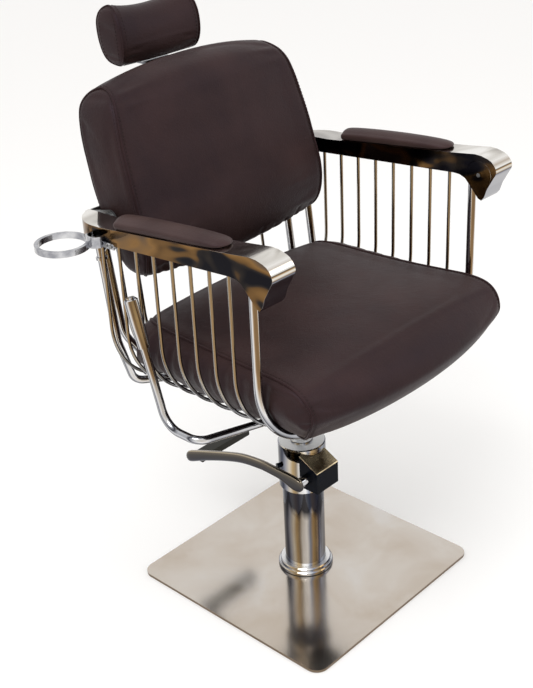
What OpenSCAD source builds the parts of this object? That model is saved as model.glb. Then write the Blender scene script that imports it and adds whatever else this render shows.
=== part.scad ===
// Salon threading chair: a bucket seat in a steel wire cradle on a hydraulic column.
// Millimetres, +Z up. The origin is on the floor, at the column's axis.
// The chair faces -Y, so +X is the sitter's left.

/* [Base and column] */
// Side of the square base plate
plate_w = 510; // [460:5:560]
// Corner radius of the base plate
plate_r = 27; // [12:1:60]
// Thickness of the base plate
plate_t = 6; // [5:0.5:10]
// Diameter of the column's foot flange
flange_d = 104; // [98:1:108]
// Thickness of the foot flange
flange_t = 10; // [8:1:12]
// Outer diameter of the floor collar
collar_d = 118; // [114:1:130]
// Height of the floor collar's lower ring above the plate
collar_low = 9; // [6:1:10]
// Height of the whole floor collar above the plate
collar_high = 16; // [14:1:20]
// Outer diameter of the chrome column cover
cover_d = 88; // [80:1:90]
// Wall of the column cover
cover_wall = 2; // [1.5:0.5:3]
// Height above the floor at which the pump head starts
head_z0 = 212; // [190:1:230]
// Height of the pump head
head_h = 107; // [100:1:115]
// Outer diameter of the pump head
head_d = 100; // [98:1:106]
// Wall of the pump head
head_wall = 5; // [4:0.5:6]

/* [Lift] */
// Outer diameter of the lift cylinder
barrel_d = 64; // [62:0.5:66]
// Bore of the lift cylinder
barrel_bore = 52; // [46:1:56]
// Diameter of the piston rod
rod_d = 27; // [22:1:30]
// Height above the floor of the piston rod's top
rod_top_z = 470; // [466:1:480]
// Length of the piston rod
rod_len = 340; // [320:5:345]
// Length of the piston
piston_len = 20; // [14:1:30]

/* [Pump] */
// Width of the pump box
box_w = 66; // [60:1:72]
// Sideways offset of the pump box from the column's axis
box_x = -14; // [-18:1:-10]
// How far the pump box reaches forward of the column's axis
box_front = 82; // [78:1:90]
// Depth of the pump box
box_deep = 48; // [46:1:52]
// Height above the floor of the pump box's underside
box_z0 = 238; // [234:1:242]
// Height of the pump box at its front
box_front_h = 50; // [46:1:56]
// Height of the pump box at the column
box_rear_h = 75; // [70:1:78]
// Thickness of the pump box's chrome lid
lid_t = 3; // [2:0.5:4]
// Wall of the pump box
box_wall = 3; // [2.5:0.5:4]
// Diameter of the pump lever's shaft
shaft_d = 14; // [12:0.5:16]
// How far the lever shaft lies forward of the column's axis
shaft_y = 57; // [56:0.5:60]
// Height above the floor of the lever shaft
shaft_z = 268; // [264:1:272]
// Length of the crank from the shaft to its roller
crank_len = 21; // [20:0.5:22]
// Diameter of the pump plunger
plunger_d = 8; // [6:0.5:9]
// How far the lever arm stands to the side of the column's axis
arm_x = 85; // [80:1:95]
// Thickness of the lever arm
arm_t = 14; // [10:1:18]
// Length of the lever arm from its shaft to its rear end
lever_len = 323; // [290:1:340]
// Length of the foot pedal
pedal_len = 150; // [120:1:170]
// Depth of the foot pedal
pedal_deep = 26; // [20:1:32]
// Height of the foot pedal
pedal_h = 16; // [12:1:22]

/* [Seat frame] */
// Diameter of the thick frame tubes
tube_d = 16; // [14:0.5:18]
// Diameter of the thin cradle wires
wire_d = 7; // [6:0.5:8]
// Half the distance between the cradle's upright wires
hoop_half = 313; // [300:1:325]
// Bend radius of the cradle
hoop_r = 150; // [130:1:160]
// Height above the floor of the cradle's flat bottom
hoop_z = 495; // [494:0.5:505]
// Number of thin cradle wires
hoop_count = 8; // [6:1:8]
// Distance between the thin cradle wires
hoop_pitch = 46.5; // [44:0.5:47]
// How far the rearmost thin wire lies behind the column's axis
hoop_rear_y = 188.5; // [186:0.5:190]
// How far the thick front hoop lies forward of the column's axis
front_hoop_y = 191; // [188:1:200]
// Height above the floor of the rear hoop behind the backrest
rear_hoop_z = 780; // [776:1:790]
// Length of the seat mount plate across the chair
mount_w = 280; // [270:2:300]
// Depth of the seat mount plate
mount_deep = 220; // [200:2:240]
// Thickness of the seat mount plate
mount_t = 8; // [6:0.5:10]
// Thickness of the two cross bars
cross_t = 8; // [6:0.5:10]
// Depth of each cross bar
cross_deep = 40; // [30:1:50]
// Outer diameter of the mount's socket
socket_d = 60; // [50:1:70]
// Length of the mount's socket
socket_len = 34; // [28:1:40]

/* [Arms] */
// Width of each armrest bar
bar_w = 55; // [50:1:60]
// How far each armrest bar's inner face stands from the middle
bar_inner = 285; // [280:1:288]
// Length of each armrest bar
bar_len = 519; // [500:1:530]
// Height from the tip of the hook to the crest of the bar
bar_rise = 90; // [84:1:96]
// Height above the floor of the hook's tip
bar_tip_z = 808; // [800:1:812]
// How far the armrest bar's rear end lies behind the column's axis
bar_rear_y = 257; // [254:1:262]
// Radius of the bar's outer rear corner
bar_corner = 80; // [70:1:90]
// Wall of the armrest bar
bar_wall = 3; // [2.5:0.5:4]
// Length of each arm pad
pad_len = 275; // [250:1:290]
// Width of each arm pad
pad_w = 50; // [44:1:54]
// Thickness of each arm pad
pad_t = 18; // [12:1:24]
// Radius of the round plug in each bar's inner face
plug_r = 28; // [24:0.5:30]

/* [Seat and back] */
// Thickness of the seat cushion, without its board
seat_h = 140; // [130:1:150]
// Thickness of the seat board
board_t = 12; // [10:1:15]
// How far the seat cushion reaches forward in the middle
seat_front = 330; // [310:1:345]
// How far the seat cushion's front corners reach forward
seat_corner = 272; // [260:1:280]
// How far the seat cushion reaches back
seat_rear = 176; // [168:1:180]
// Half width of the backrest
back_half = 260; // [240:1:260]
// Height of the backrest
back_high = 385; // [360:1:400]
// Depth of the backrest from its foremost to its rearmost line
back_deep = 177; // [170:1:180]
// Height above the floor of the backrest's lowest edge
back_z0 = 701; // [695:1:710]
// How far the backrest's foremost line lies behind the column's axis
back_y0 = 135; // [132:1:138]
// Lean of the backrest's rear panel
panel_lean = 13.5; // [13:0.25:14]
// Thickness of the backrest's rear panel
panel_t = 10; // [8:0.5:12]
// How far the recline pivot lies behind the column's axis
pivot_y = 215; // [213:0.5:217]
// Height above the floor of the recline pivot
pivot_z = 842; // [840:0.5:843]
// Diameter of the recline pivot's pins
pin_d = 12; // [10:0.5:12]

/* [Headrest] */
// Half width of the headrest cushion
head_half = 108; // [90:1:130]
// Height of the headrest cushion
head_high = 118; // [100:1:130]
// Depth of the headrest cushion
head_deep = 80; // [70:1:90]
// Diameter of the headrest's two posts
post_d = 10; // [8:0.5:12]
// Distance between the headrest's two posts
post_gap = 50; // [44:1:60]
// Length of the headrest's two posts
post_len = 172; // [165:1:180]

/* [Recline lever] */
// Diameter of the recline lever's tube
recline_d = 16; // [14:0.5:16]
// How far the lever's upright part stands from the middle
recline_x = 340; // [336:1:350]
// How far the lever's shaft lies forward of the column's axis
recline_y = 60; // [56:1:64]
// Height above the floor of the lever's outer knee
recline_z = 498; // [494:1:502]
// Length of the grip on the recline lever
grip_len = 90; // [70:1:95]
// Diameter of the grip at its top
grip_d = 26; // [22:0.5:30]

/* [Dryer holder] */
// Outer diameter of the dryer ring
ring_d = 100; // [90:1:104]
// Wall of the dryer ring
ring_wall = 7; // [5:0.5:8]
// Height of the dryer ring
ring_h = 11; // [8:0.5:14]

/* [Hidden] */
$fn = 64;

// Gap between pieces that are welded or seated on one another
seat_gap = 0.2;
// Radial gap of a shaft that turns or slides in a bore
run_gap = 0.05;
// Gap between a soft piece and its neighbour
soft_gap = 0.4;
// Gap of a loose part beside a moving one
side_gap = 0.5;
// Overrun of every cut
over = 1;
// Swelling of a tube's bends in radius, and how far the straight runs reach into them
bend_swell = 0.1;
bend_lap = 1.5;

// Colours
chrome_c = "#b9b2a6";
satin_c = "#a9a49c";
leather_c = "#3b3030";
black_c = "#181a20";
steel_c = "#6f7276";

// Levels that follow from the sizes above
flange_z = plate_t + flange_t;
head_top = head_z0 + head_h;
mount_z = rod_top_z + 4 * run_gap + box_wall + run_gap * 4;
cross_z = mount_z - seat_gap - cross_t;
hoop_flat = hoop_half - hoop_r;
bend_z = hoop_z + hoop_r;
rail_reach = hoop_r + wire_d / 2 + tube_d / 2 + seat_gap;
rail_z = max(mount_z + tube_d / 2 + seat_gap, bend_z - rail_reach);
rail_x = hoop_flat + sqrt(max(pow(rail_reach, 2) - pow(bend_z - rail_z, 2), 0));
board_z = hoop_z + tube_d / 2 + seat_gap;
cushion_z = board_z + board_t + soft_gap;
cushion_top = cushion_z + seat_h;
hoop_front_y = hoop_rear_y - (hoop_count - 1) * hoop_pitch;
rail_front_y = -front_hoop_y + tube_d / 2 + seat_gap;

// Screws of the foot flange
screw_d = 8;
screw_head_d = 13;
screw_head_h = 3;
screw_ring_d = flange_d - 2 * screw_head_d / 2 - 2 * box_wall;
screw_count = 4;

// Edge rounding of the column's turned pieces
turned_edge = 2;
gasket_t = 1.5;

// Unit vector
function unit(v) = v / norm(v);

// Straight round bar between two points
module bar(a, b, d) {
    v = b - a;
    translate(a) rotate([0, acos(v.z / norm(v)), atan2(v.y, v.x)]) cylinder(h = norm(v), d = d);
}

// Length that a bend of radius r takes from each leg at corner p
function bend_take(a, p, b, r) = r * tan(acos(unit(p - a) * unit(b - p)) / 2);

// Round bend of radius r at corner p of the path a, p, b
module elbow(a, p, b, r, d) {
    u = unit(p - a);
    w = unit(b - p);
    turn = acos(u * w);
    inward = unit(w - (w * u) * u);
    start = p - u * bend_take(a, p, b, r);
    c = start + inward * r;
    n = cross(-inward, u);
    multmatrix([
        [-inward.x, u.x, n.x, c.x],
        [-inward.y, u.y, n.y, c.y],
        [-inward.z, u.z, n.z, c.z],
        [0, 0, 0, 1]
    ]) rotate_extrude(angle = turn) translate([r, 0]) circle(d = d + 2 * bend_swell);
}

// Tube bent at its inner points, with one bend radius for each of them
module bent_tube(pts, radii, d) {
    last = len(pts) - 1;
    takes = [for (i = [0:last]) (i == 0 || i == last) ? 0
        : bend_take(pts[i - 1], pts[i], pts[i + 1], radii[i - 1])];
    for (i = [0:last - 1]) {
        u = unit(pts[i + 1] - pts[i]);
        bar(pts[i] + u * (takes[i] - (i > 0 ? bend_lap : 0)),
            pts[i + 1] - u * (takes[i + 1] - (i < last - 1 ? bend_lap : 0)), d);
    }
    for (i = [1:last - 1]) elbow(pts[i - 1], pts[i], pts[i + 1], radii[i - 1], d);
}

// Slab with round corners, centred in plan
module round_slab(w, deep, r, t) {
    translate([-w / 2 + r, -deep / 2, 0]) cube([w - 2 * r, deep, t]);
    translate([-w / 2, -deep / 2 + r, 0]) cube([w, deep - 2 * r, t]);
    for (sx = [-1, 1], sy = [-1, 1])
        translate([sx * (w / 2 - r), sy * (deep / 2 - r), 0]) cylinder(h = t, r = r);
}

// Outline in the Y-Z plane, extruded along X from x0 to x1
module side_slab(pts, x0, x1) {
    translate([x0, 0, 0]) rotate([90, 0, 90]) linear_extrude(x1 - x0) polygon(pts);
}

// Cylinder along X from x0 to x1
module x_round(x0, x1, y, z, r) {
    translate([x0, y, z]) rotate([0, 90, 0]) cylinder(h = x1 - x0, r = r);
}

// The same piece on both sides of the chair
module both_sides() {
    children();
    mirror([1, 0, 0]) children();
}

// Closed skin through a list of rings with the same number of points
module loft(rings) {
    n = len(rings[0]);
    m = len(rings);
    centres = [for (r = [rings[0], rings[m - 1]]) [for (k = [0:2]) sum_of([for (p = r) p[k]]) / n]];
    walls = [for (r = [0:m - 2], i = [0:n - 1]) each [
        [r * n + i, (r + 1) * n + i, r * n + (i + 1) % n],
        [(r + 1) * n + i, (r + 1) * n + (i + 1) % n, r * n + (i + 1) % n]
    ]];
    low = [for (i = [0:n - 1]) [m * n, i, (i + 1) % n]];
    high = [for (i = [0:n - 1]) [m * n + 1, (m - 1) * n + (i + 1) % n, (m - 1) * n + i]];
    polyhedron(
        points = [each [for (r = rings) each r], each centres],
        faces = [each walls, each low, each high]);
}
function sum_of(v, i = 0) = i < len(v) ? v[i] + sum_of(v, i + 1) : 0;

// Point of a rounded unit square at angle a, with squareness p
function squircle(a, p) = [
    sign(cos(a)) * pow(abs(cos(a)), 2 / p),
    sign(sin(a)) * pow(abs(sin(a)), 2 / p)
];

// Base plate, drilled for the flange screws
module base_plate() {
    color(satin_c) difference() {
        round_slab(plate_w, plate_w, plate_r, plate_t);
        screw_places() translate([0, 0, -over]) cylinder(h = plate_t + 2 * over, d = screw_d + seat_gap);
        screw_places() translate([0, 0, -over])
            cylinder(h = over + screw_head_h + seat_gap, d = screw_head_d + 2 * seat_gap);
    }
}

// Places of the flange screws
module screw_places() {
    for (i = [0:screw_count - 1]) rotate([0, 0, (i + 0.5) * 360 / screw_count])
        translate([screw_ring_d / 2, 0, 0]) children();
}

// Screws that hold the foot flange, put in from below
module flange_screws() {
    color(steel_c) screw_places() {
        translate([0, 0, seat_gap]) cylinder(h = screw_head_h, d = screw_head_d);
        cylinder(h = flange_z - over, d = screw_d);
        translate([0, 0, seat_gap]) cylinder(h = over, d = screw_d);
    }
}

// Foot flange under the floor collar
module foot_flange() {
    color(steel_c) difference() {
        translate([0, 0, plate_t]) cylinder(h = flange_t, d = flange_d);
        screw_places() translate([0, 0, plate_t - over])
            cylinder(h = flange_t + 2 * over, d = screw_d + seat_gap);
    }
}

// Dark gasket line under the floor collar
module collar_gasket() {
    color(black_c) translate([0, 0, plate_t]) difference() {
        cylinder(h = gasket_t, d = collar_d + 2 * seat_gap);
        translate([0, 0, -over]) cylinder(h = gasket_t + 2 * over, d = flange_d + 2 * seat_gap);
    }
}

// Stepped chrome collar round the column's foot
module floor_collar() {
    lip_r = collar_d / 2 - turned_edge * 2;
    inner_r = cover_d / 2 + seat_gap;
    hollow_r = flange_d / 2 + seat_gap;
    color(chrome_c) translate([0, 0, plate_t]) rotate_extrude() polygon([
        [hollow_r, gasket_t], [collar_d / 2, gasket_t],
        [collar_d / 2, collar_low - turned_edge], [collar_d / 2 - turned_edge, collar_low],
        [lip_r, collar_low], [lip_r, collar_high - turned_edge],
        [lip_r - turned_edge, collar_high], [inner_r, collar_high],
        [inner_r, flange_t + seat_gap], [hollow_r, flange_t + seat_gap]
    ]);
}

// Chrome cover tube of the column
module column_cover() {
    color(chrome_c) difference() {
        translate([0, 0, flange_z]) cylinder(h = head_z0 - flange_z, d = cover_d);
        translate([0, 0, flange_z - over])
            cylinder(h = head_z0 - flange_z + 2 * over, d = cover_d - 2 * cover_wall);
    }
}

// Lift cylinder that the piston runs in
module lift_cylinder() {
    top = head_top - head_wall - seat_gap;
    color(steel_c) difference() {
        translate([0, 0, flange_z]) cylinder(h = top - flange_z, d = barrel_d);
        translate([0, 0, flange_z - over]) cylinder(h = top - flange_z + 2 * over, d = barrel_bore);
    }
}

// Turned pump head with a window for the crank
module pump_head() {
    r = head_d / 2;
    guide_r = rod_d / 2 + head_wall;
    window_z = shaft_z - crank_len;
    color(chrome_c) difference() {
        translate([0, 0, head_z0]) rotate_extrude() polygon([
            [barrel_d / 2 + seat_gap, 0], [r - turned_edge, 0], [r, turned_edge],
            [r, head_h - turned_edge], [r - turned_edge, head_h], [guide_r, head_h],
            [guide_r, head_h - head_wall], [r - head_wall, head_h - head_wall],
            [r - head_wall, head_wall], [barrel_d / 2 + seat_gap, head_wall]
        ]);
        translate([box_x - box_w / 2 + 2 * box_wall, -r - over, window_z])
            cube([box_w - 4 * box_wall, r, 2 * crank_len]);
    }
}

// Guide ring of the piston rod in the pump head
module rod_guide() {
    lip_r = rod_d / 2 + 2 * head_wall;
    sleeve_r = rod_d / 2 + head_wall - seat_gap;
    bore_r = rod_d / 2 + run_gap;
    color(chrome_c) translate([0, 0, head_top]) rotate_extrude() polygon([
        [bore_r, -head_wall], [sleeve_r, -head_wall], [sleeve_r, 0], [lip_r, 0],
        [lip_r, box_wall - over], [lip_r - over, box_wall], [bore_r, box_wall]
    ]);
}

// Place of the plunger, under the crank's roller
plunger_y = -shaft_y + crank_len;
roller_r = 4;
plunger_top = shaft_z - roller_r - 2 * seat_gap;
barrel_low = 18;
barrel_wall = 1.5;
barrel_top = shaft_z - barrel_low;

// Barrel that guides the pump plunger
module plunger_barrel() {
    z0 = head_z0 + head_wall;
    color(steel_c) translate([box_x, plunger_y, z0]) difference() {
        cylinder(h = barrel_top - z0, d = plunger_d + 2 * barrel_wall);
        translate([0, 0, -over]) cylinder(h = barrel_top - z0 + 2 * over, d = plunger_d + 2 * run_gap);
    }
}

// Pump plunger
module pump_plunger() {
    z0 = head_z0 + 4 * head_wall;
    color(steel_c) translate([box_x, plunger_y, z0]) cylinder(h = plunger_top - z0, d = plunger_d);
}

// Side outline of the pump box, drawn in by a wall
function box_outline(inset, front_h, rear_h) = [
    [-box_front + inset, box_z0 + inset],
    [-box_front + box_deep + inset, box_z0 + inset],
    [-box_front + box_deep + inset, box_z0 + rear_h - inset],
    [-box_front + inset, box_z0 + front_h - inset]
];

// Black pump box on the front of the pump head
module pump_box() {
    x0 = box_x - box_w / 2;
    x1 = box_x + box_w / 2;
    boss = 2 * box_wall;
    color(black_c) difference() {
        union() {
            difference() {
                side_slab(box_outline(0, box_front_h - lid_t, box_rear_h - lid_t), x0, x1);
                side_slab(box_outline(box_wall, box_front_h + lid_t * 4, box_rear_h + lid_t * 4),
                    x0 + box_wall, x1 - box_wall);
            }
            x_round(x0 + box_wall, x0 + box_wall + boss, -shaft_y, shaft_z, shaft_d / 2 + box_wall);
            x_round(x1 - box_wall - boss, x1 - box_wall, -shaft_y, shaft_z, shaft_d / 2 + box_wall);
        }
        translate([0, 0, head_z0]) cylinder(h = head_h, d = head_d + 2 * seat_gap);
        x_round(x0 - over, x1 + over, -shaft_y, shaft_z, shaft_d / 2 + run_gap);
    }
}

// Sloping chrome lid of the pump box
module pump_lid() {
    x0 = box_x - box_w / 2;
    lift = seat_gap;
    color(chrome_c) difference() {
        side_slab([
            [-box_front, box_z0 + box_front_h - lid_t + lift],
            [-box_front + box_deep, box_z0 + box_rear_h - lid_t + lift],
            [-box_front + box_deep, box_z0 + box_rear_h + lift],
            [-box_front, box_z0 + box_front_h + lift]
        ], x0, x0 + box_w);
        translate([0, 0, head_z0]) cylinder(h = 2 * head_h, d = head_d + 2 * seat_gap);
    }
}

// Oil plug on the pump head's side
module oil_plug() {
    plug_d = 11;
    plug_h = 8;
    color(black_c) rotate([0, 0, 155]) difference() {
        x_round(head_d / 2 - over, head_d / 2 + plug_h, 0, shaft_z, plug_d / 2);
        translate([0, 0, head_z0]) cylinder(h = head_h, d = head_d + seat_gap);
    }
}

// Shaft that the foot lever turns on
module lever_shaft() {
    color(chrome_c) x_round(-arm_x + arm_t / 2 + seat_gap, box_x + box_w / 2 - over, -shaft_y, shaft_z,
        shaft_d / 2);
}

// Chrome sleeve between the pump box and the lever arm
module lever_sleeve() {
    x0 = -arm_x + arm_t / 2 + seat_gap;
    x1 = box_x - box_w / 2 - side_gap;
    color(chrome_c) difference() {
        x_round(x0, x1, -shaft_y, shaft_z, shaft_d / 2 + 4);
        x_round(x0 - over, x1 + over, -shaft_y, shaft_z, shaft_d / 2 + seat_gap / 2);
    }
}

// Crank with its roller, inside the pump box
module pump_crank() {
    crank_t = 12;
    x0 = box_x - crank_t / 2;
    hub_r = shaft_d / 2 + box_wall;
    color(steel_c) difference() {
        union() {
            x_round(x0, x0 + crank_t, -shaft_y, shaft_z, hub_r);
            translate([x0, -shaft_y, shaft_z - roller_r]) cube([crank_t, crank_len, 2 * roller_r]);
            x_round(x0, x0 + crank_t, plunger_y, shaft_z, roller_r);
        }
        x_round(x0 - over, x0 + crank_t + over, -shaft_y, shaft_z, shaft_d / 2 + seat_gap / 2);
    }
}

// Side outline of the foot lever, in shares of its length measured from the shaft
lever_outline_shares = [
    [-0.062, 0], [-0.056, 0.048], [-0.02, 0.074], [0.06, 0.08], [0.3, 0.084], [0.45, 0.066],
    [0.6, 0.024], [0.8, -0.045], [0.98, -0.11], [1, -0.14], [0.985, -0.2], [0.955, -0.212],
    [0.8, -0.135], [0.6, -0.058], [0.45, -0.014], [0.3, 0.005], [0.12, 0], [0.05, -0.03],
    [0, -0.056], [-0.045, -0.04]
];

// Curved chrome foot lever
module pump_lever() {
    color(chrome_c) side_slab(
        [for (p = lever_outline_shares) [-shaft_y + p[0] * lever_len, shaft_z + p[1] * lever_len]],
        -arm_x - arm_t / 2, -arm_x + arm_t / 2);
}

// Foot pedal on the inner side of the lever's end, behind the column
module foot_pedal() {
    x0 = -arm_x + arm_t / 2 + seat_gap;
    y0 = -shaft_y + lever_len * 0.98 - pedal_deep - pedal_h / 2;
    z1 = shaft_z - lever_len * 0.19;
    color(black_c) {
        translate([x0, y0, z1]) cube([pedal_len, pedal_deep, pedal_h]);
        x_round(x0, x0 + pedal_len, y0 + pedal_deep, z1 + pedal_h / 2, pedal_h / 2);
    }
}

// Piston rod, shown raised
module piston_rod() {
    color(chrome_c) translate([0, 0, rod_top_z - rod_len]) cylinder(h = rod_len, d = rod_d);
}

// Piston at the rod's lower end
module piston() {
    color(steel_c) translate([0, 0, rod_top_z - rod_len]) difference() {
        cylinder(h = piston_len, d = barrel_bore - 2 * run_gap);
        translate([0, 0, -over]) cylinder(h = piston_len + 2 * over, d = rod_d + seat_gap);
    }
}

// Seat mount: a plate with the socket that turns on the piston rod
module seat_mount() {
    cap_z = rod_top_z + 4 * run_gap;
    color(black_c) difference() {
        union() {
            translate([0, 0, mount_z]) round_slab(mount_w, mount_deep, plate_r, mount_t);
            translate([0, 0, mount_z - socket_len]) cylinder(h = socket_len, d = socket_d);
        }
        translate([0, 0, mount_z - socket_len - over])
            cylinder(h = cap_z - mount_z + socket_len + over, d = rod_d + 2 * run_gap);
    }
}

// Two flat bars under the mount plate, with saddles at their ends that carry the side rails
module cross_bars() {
    reach = rail_x + seat_gap;
    x0 = mount_w / 2 + side_gap;
    color(black_c) for (s = [-1, 1])
        translate([0, s * (mount_deep / 2 - cross_deep / 2) - cross_deep / 2, cross_z]) {
            translate([-reach, 0, 0]) cube([2 * reach, cross_deep, cross_t]);
            both_sides() translate([x0, 0, 0])
                cube([reach - x0, cross_deep, rail_z - tube_d / 2 - seat_gap - cross_z]);
        }
}

// U-shaped lower part of one cradle hoop
module cradle(y, d) {
    translate([0, y, 0]) {
        translate([-hoop_flat, 0, hoop_z]) rotate([0, 90, 0]) cylinder(h = 2 * hoop_flat, d = d);
        both_sides() translate([hoop_flat, 0, bend_z]) rotate([90, 0, 0]) rotate([0, 0, -90])
            rotate_extrude(angle = 90) translate([hoop_r, 0]) circle(d = d);
    }
}

// Thick front hoop under the seat
module front_cradle() {
    color(chrome_c) cradle(-front_hoop_y, tube_d);
}

// Upright of a hoop, from its bend to the armrest's underside
module upright(y, d) {
    difference() {
        translate([hoop_half, y, bend_z])
            cylinder(h = under_z(y) - bend_z - 2 * seat_gap - slope_drop(d), d = d);
        translate([0, 0, -2 * seat_gap]) side_slab(bar_outline, bar_inner, bar_inner + bar_w);
    }
}
function slope_drop(d) = abs(under_slope) * d / 2;

// Both uprights of the thick front hoop
module front_uprights() {
    color(chrome_c) both_sides() upright(-front_hoop_y, tube_d);
}

// Lower parts of the thin cradle wires
module wire_cradles() {
    color(chrome_c) for (i = [0:hoop_count - 1]) cradle(hoop_rear_y - i * hoop_pitch, wire_d);
}

// Upright ends of the thin wires on one side
module side_wires() {
    color(chrome_c) for (i = [0:hoop_count - 1]) upright(hoop_rear_y - i * hoop_pitch, wire_d);
}
module left_wires() { side_wires(); }
module right_wires() { mirror([1, 0, 0]) side_wires(); }

// Rear corner posts lean back as they rise
post_x = 288;
post_lean = 0.12;
post_y0 = hoop_rear_y + wire_d / 2 + tube_d / 2 + seat_gap;
post_out = 12;
rail_flare = 94.5;
rail_lift = 15;
rail_turn_r = 34;
rail_rise_r = 30;
post_turn_r = 60;
function post_at(x, y, z) = [x, y + (z - bend_z) * post_lean, z];

// One side rail, which rises as the outer rear post
module side_rail() {
    foot_y = post_y0 + post_out;
    top_z = under_z(bar_rear_y - tube_d) - 2 * seat_gap;
    color(chrome_c) bent_tube([
        [rail_x, rail_front_y, rail_z],
        [rail_x, hoop_rear_y - hoop_pitch / 2, rail_z],
        [rail_x + rail_flare, post_y0 + post_out / 2, rail_z + rail_lift],
        post_at(post_x, foot_y, bend_z - 3 * tube_d),
        post_at(post_x, foot_y, top_z)
    ], [rail_turn_r, rail_rise_r, post_turn_r], tube_d);
}
module left_rail() { side_rail(); }
module right_rail() { mirror([1, 0, 0]) side_rail(); }

// Places of the rear posts and wires on the rear hoop
hoop_rear_run = 326;
inner_post_x = 252;
inner_post_y = 259;
wire_a_x = 198;
wire_a_y = 292;
wire_b_x = 142;
wire_b_y = 312;
wire_a_reach = 38;
wire_b_in = 3;
wire_behind = 76;
wire_turn_r = 100;
hoop_out = 4;
rear_turn_r = 150;

// Bends of the inner posts, measured from the cradle's bend
inner_reach = 65;
inner_drop = 140;
inner_knee = 55;
inner_turn = 100;
inner_lean = 24;
inner_in = 2;
inner_upper_r = 70;
inner_lower_r = 25;

// Height at which a leaning post of diameter d ends, just under the rear hoop
function under_hoop(d) = rear_hoop_z - tube_d / 2 - bend_swell - seat_gap - d / 2 * post_lean;

// Inner rear posts, from the rear hoop to the rearmost cradle wire
module rear_posts() {
    x = hoop_flat + inner_reach;
    low_z = bend_z - inner_drop;
    color(chrome_c) both_sides() bent_tube([
        [inner_post_x, inner_post_y, under_hoop(tube_d)],
        [inner_post_x - inner_in, inner_post_y - inner_lean, bend_z - inner_knee],
        [x, post_y0, bend_z - inner_turn],
        [x, post_y0, low_z]
    ], [inner_upper_r, inner_lower_r], tube_d);
}

// One thin wire behind the seat, bent forward under it
module back_wire(x_top, y_top, x_low) {
    dx = max(x_low - hoop_flat, 0);
    z_low = bend_z - sqrt(pow(hoop_r - wire_d - seat_gap, 2) - pow(dx, 2));
    bent_tube([
        [x_top, y_top, under_hoop(wire_d)],
        [x_low, hoop_rear_y + wire_behind, z_low],
        [x_low, hoop_rear_y - 1.3 * hoop_pitch, z_low]
    ], [wire_turn_r], wire_d);
}

// Four thin wires behind the seat
module back_wires() {
    color(chrome_c) both_sides() {
        back_wire(wire_a_x, wire_a_y, hoop_flat + wire_a_reach);
        back_wire(wire_b_x, wire_b_y, hoop_flat - wire_b_in);
    }
}

// Rear hoop behind the backrest, ending on the outer posts
module rear_hoop() {
    end = post_at(post_x, post_y0 + post_out, rear_hoop_z);
    color(chrome_c) difference() {
        bent_tube([
            [-end.x, end.y, rear_hoop_z], [-wire_a_x, wire_a_y + hoop_out, rear_hoop_z],
            [-wire_b_x / 2, hoop_rear_run, rear_hoop_z], [wire_b_x / 2, hoop_rear_run, rear_hoop_z],
            [wire_a_x, wire_a_y + hoop_out, rear_hoop_z], [end.x, end.y, rear_hoop_z]
        ], [for (i = [1:4]) rear_turn_r], tube_d);
        both_sides() bar(post_at(post_x, post_y0 + post_out, rear_hoop_z - 2 * tube_d),
            post_at(post_x, post_y0 + post_out, rear_hoop_z + 2 * tube_d), tube_d + 2 * seat_gap);
    }
}

// Rings on the outer posts, under the rear hoop
module post_rings() {
    z = rear_hoop_z - tube_d / 2 - tube_d / 3 - tube_d * post_lean - seat_gap;
    p = post_at(post_x, post_y0 + post_out, z);
    q = post_at(post_x, post_y0 + post_out, z + tube_d / 3);
    color(chrome_c) both_sides() difference() {
        bar(p, q, tube_d + 2 * box_wall);
        bar(p - (q - p), q + (q - p), tube_d + 2 * seat_gap);
    }
}

// Side outline of an armrest bar: shares of its length from the rear, and of its rise from the tip
bar_outline_shares = [
    [0, 0.556], [0.195, 0.589], [0.784, 0.917], [0.904, 1], [0.934, 0.989], [0.963, 0.944],
    [0.977, 0.906], [0.988, 0.844], [0.996, 0.778], [1, 0.7], [0.997, 0.628], [0.989, 0.55],
    [0.963, 0.278], [0.952, 0.089], [0.94, 0],
    [0.925, 0.033], [0.89, 0.267], [0.865, 0.422], [0.842, 0.478], [0.815, 0.489], [0, 0.178]
];
function bar_point(i) = [
    bar_rear_y - bar_outline_shares[i][0] * bar_len,
    bar_tip_z + bar_outline_shares[i][1] * bar_rise
];
bar_outline = [for (i = [0:len(bar_outline_shares) - 1]) bar_point(i)];
under_slope = (bar_point(19).y - bar_point(20).y) / (bar_point(19).x - bar_point(20).x);
function under_z(y) = bar_point(20).y + (y - bar_point(20).x) * under_slope;

// Share of a bar's length at which its solid hook begins
hook_share = 0.838;

// Plan of an armrest bar, drawn in by an inset, from z0 to z1
module bar_plan(inset, z0, z1) {
    r = bar_corner - inset;
    cx = bar_inner + bar_w - bar_corner;
    cy = bar_rear_y - bar_corner;
    translate([0, 0, z0]) intersection() {
        union() {
            translate([cx, cy, 0]) cylinder(h = z1 - z0, r = r, $fn = 96);
            translate([bar_inner, bar_rear_y - bar_len, 0])
                cube([bar_w - inset, bar_len - bar_corner, z1 - z0]);
        }
        translate([bar_inner + inset, bar_rear_y - bar_len, 0]) cube([bar_w, bar_len, z1 - z0]);
    }
}

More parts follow.
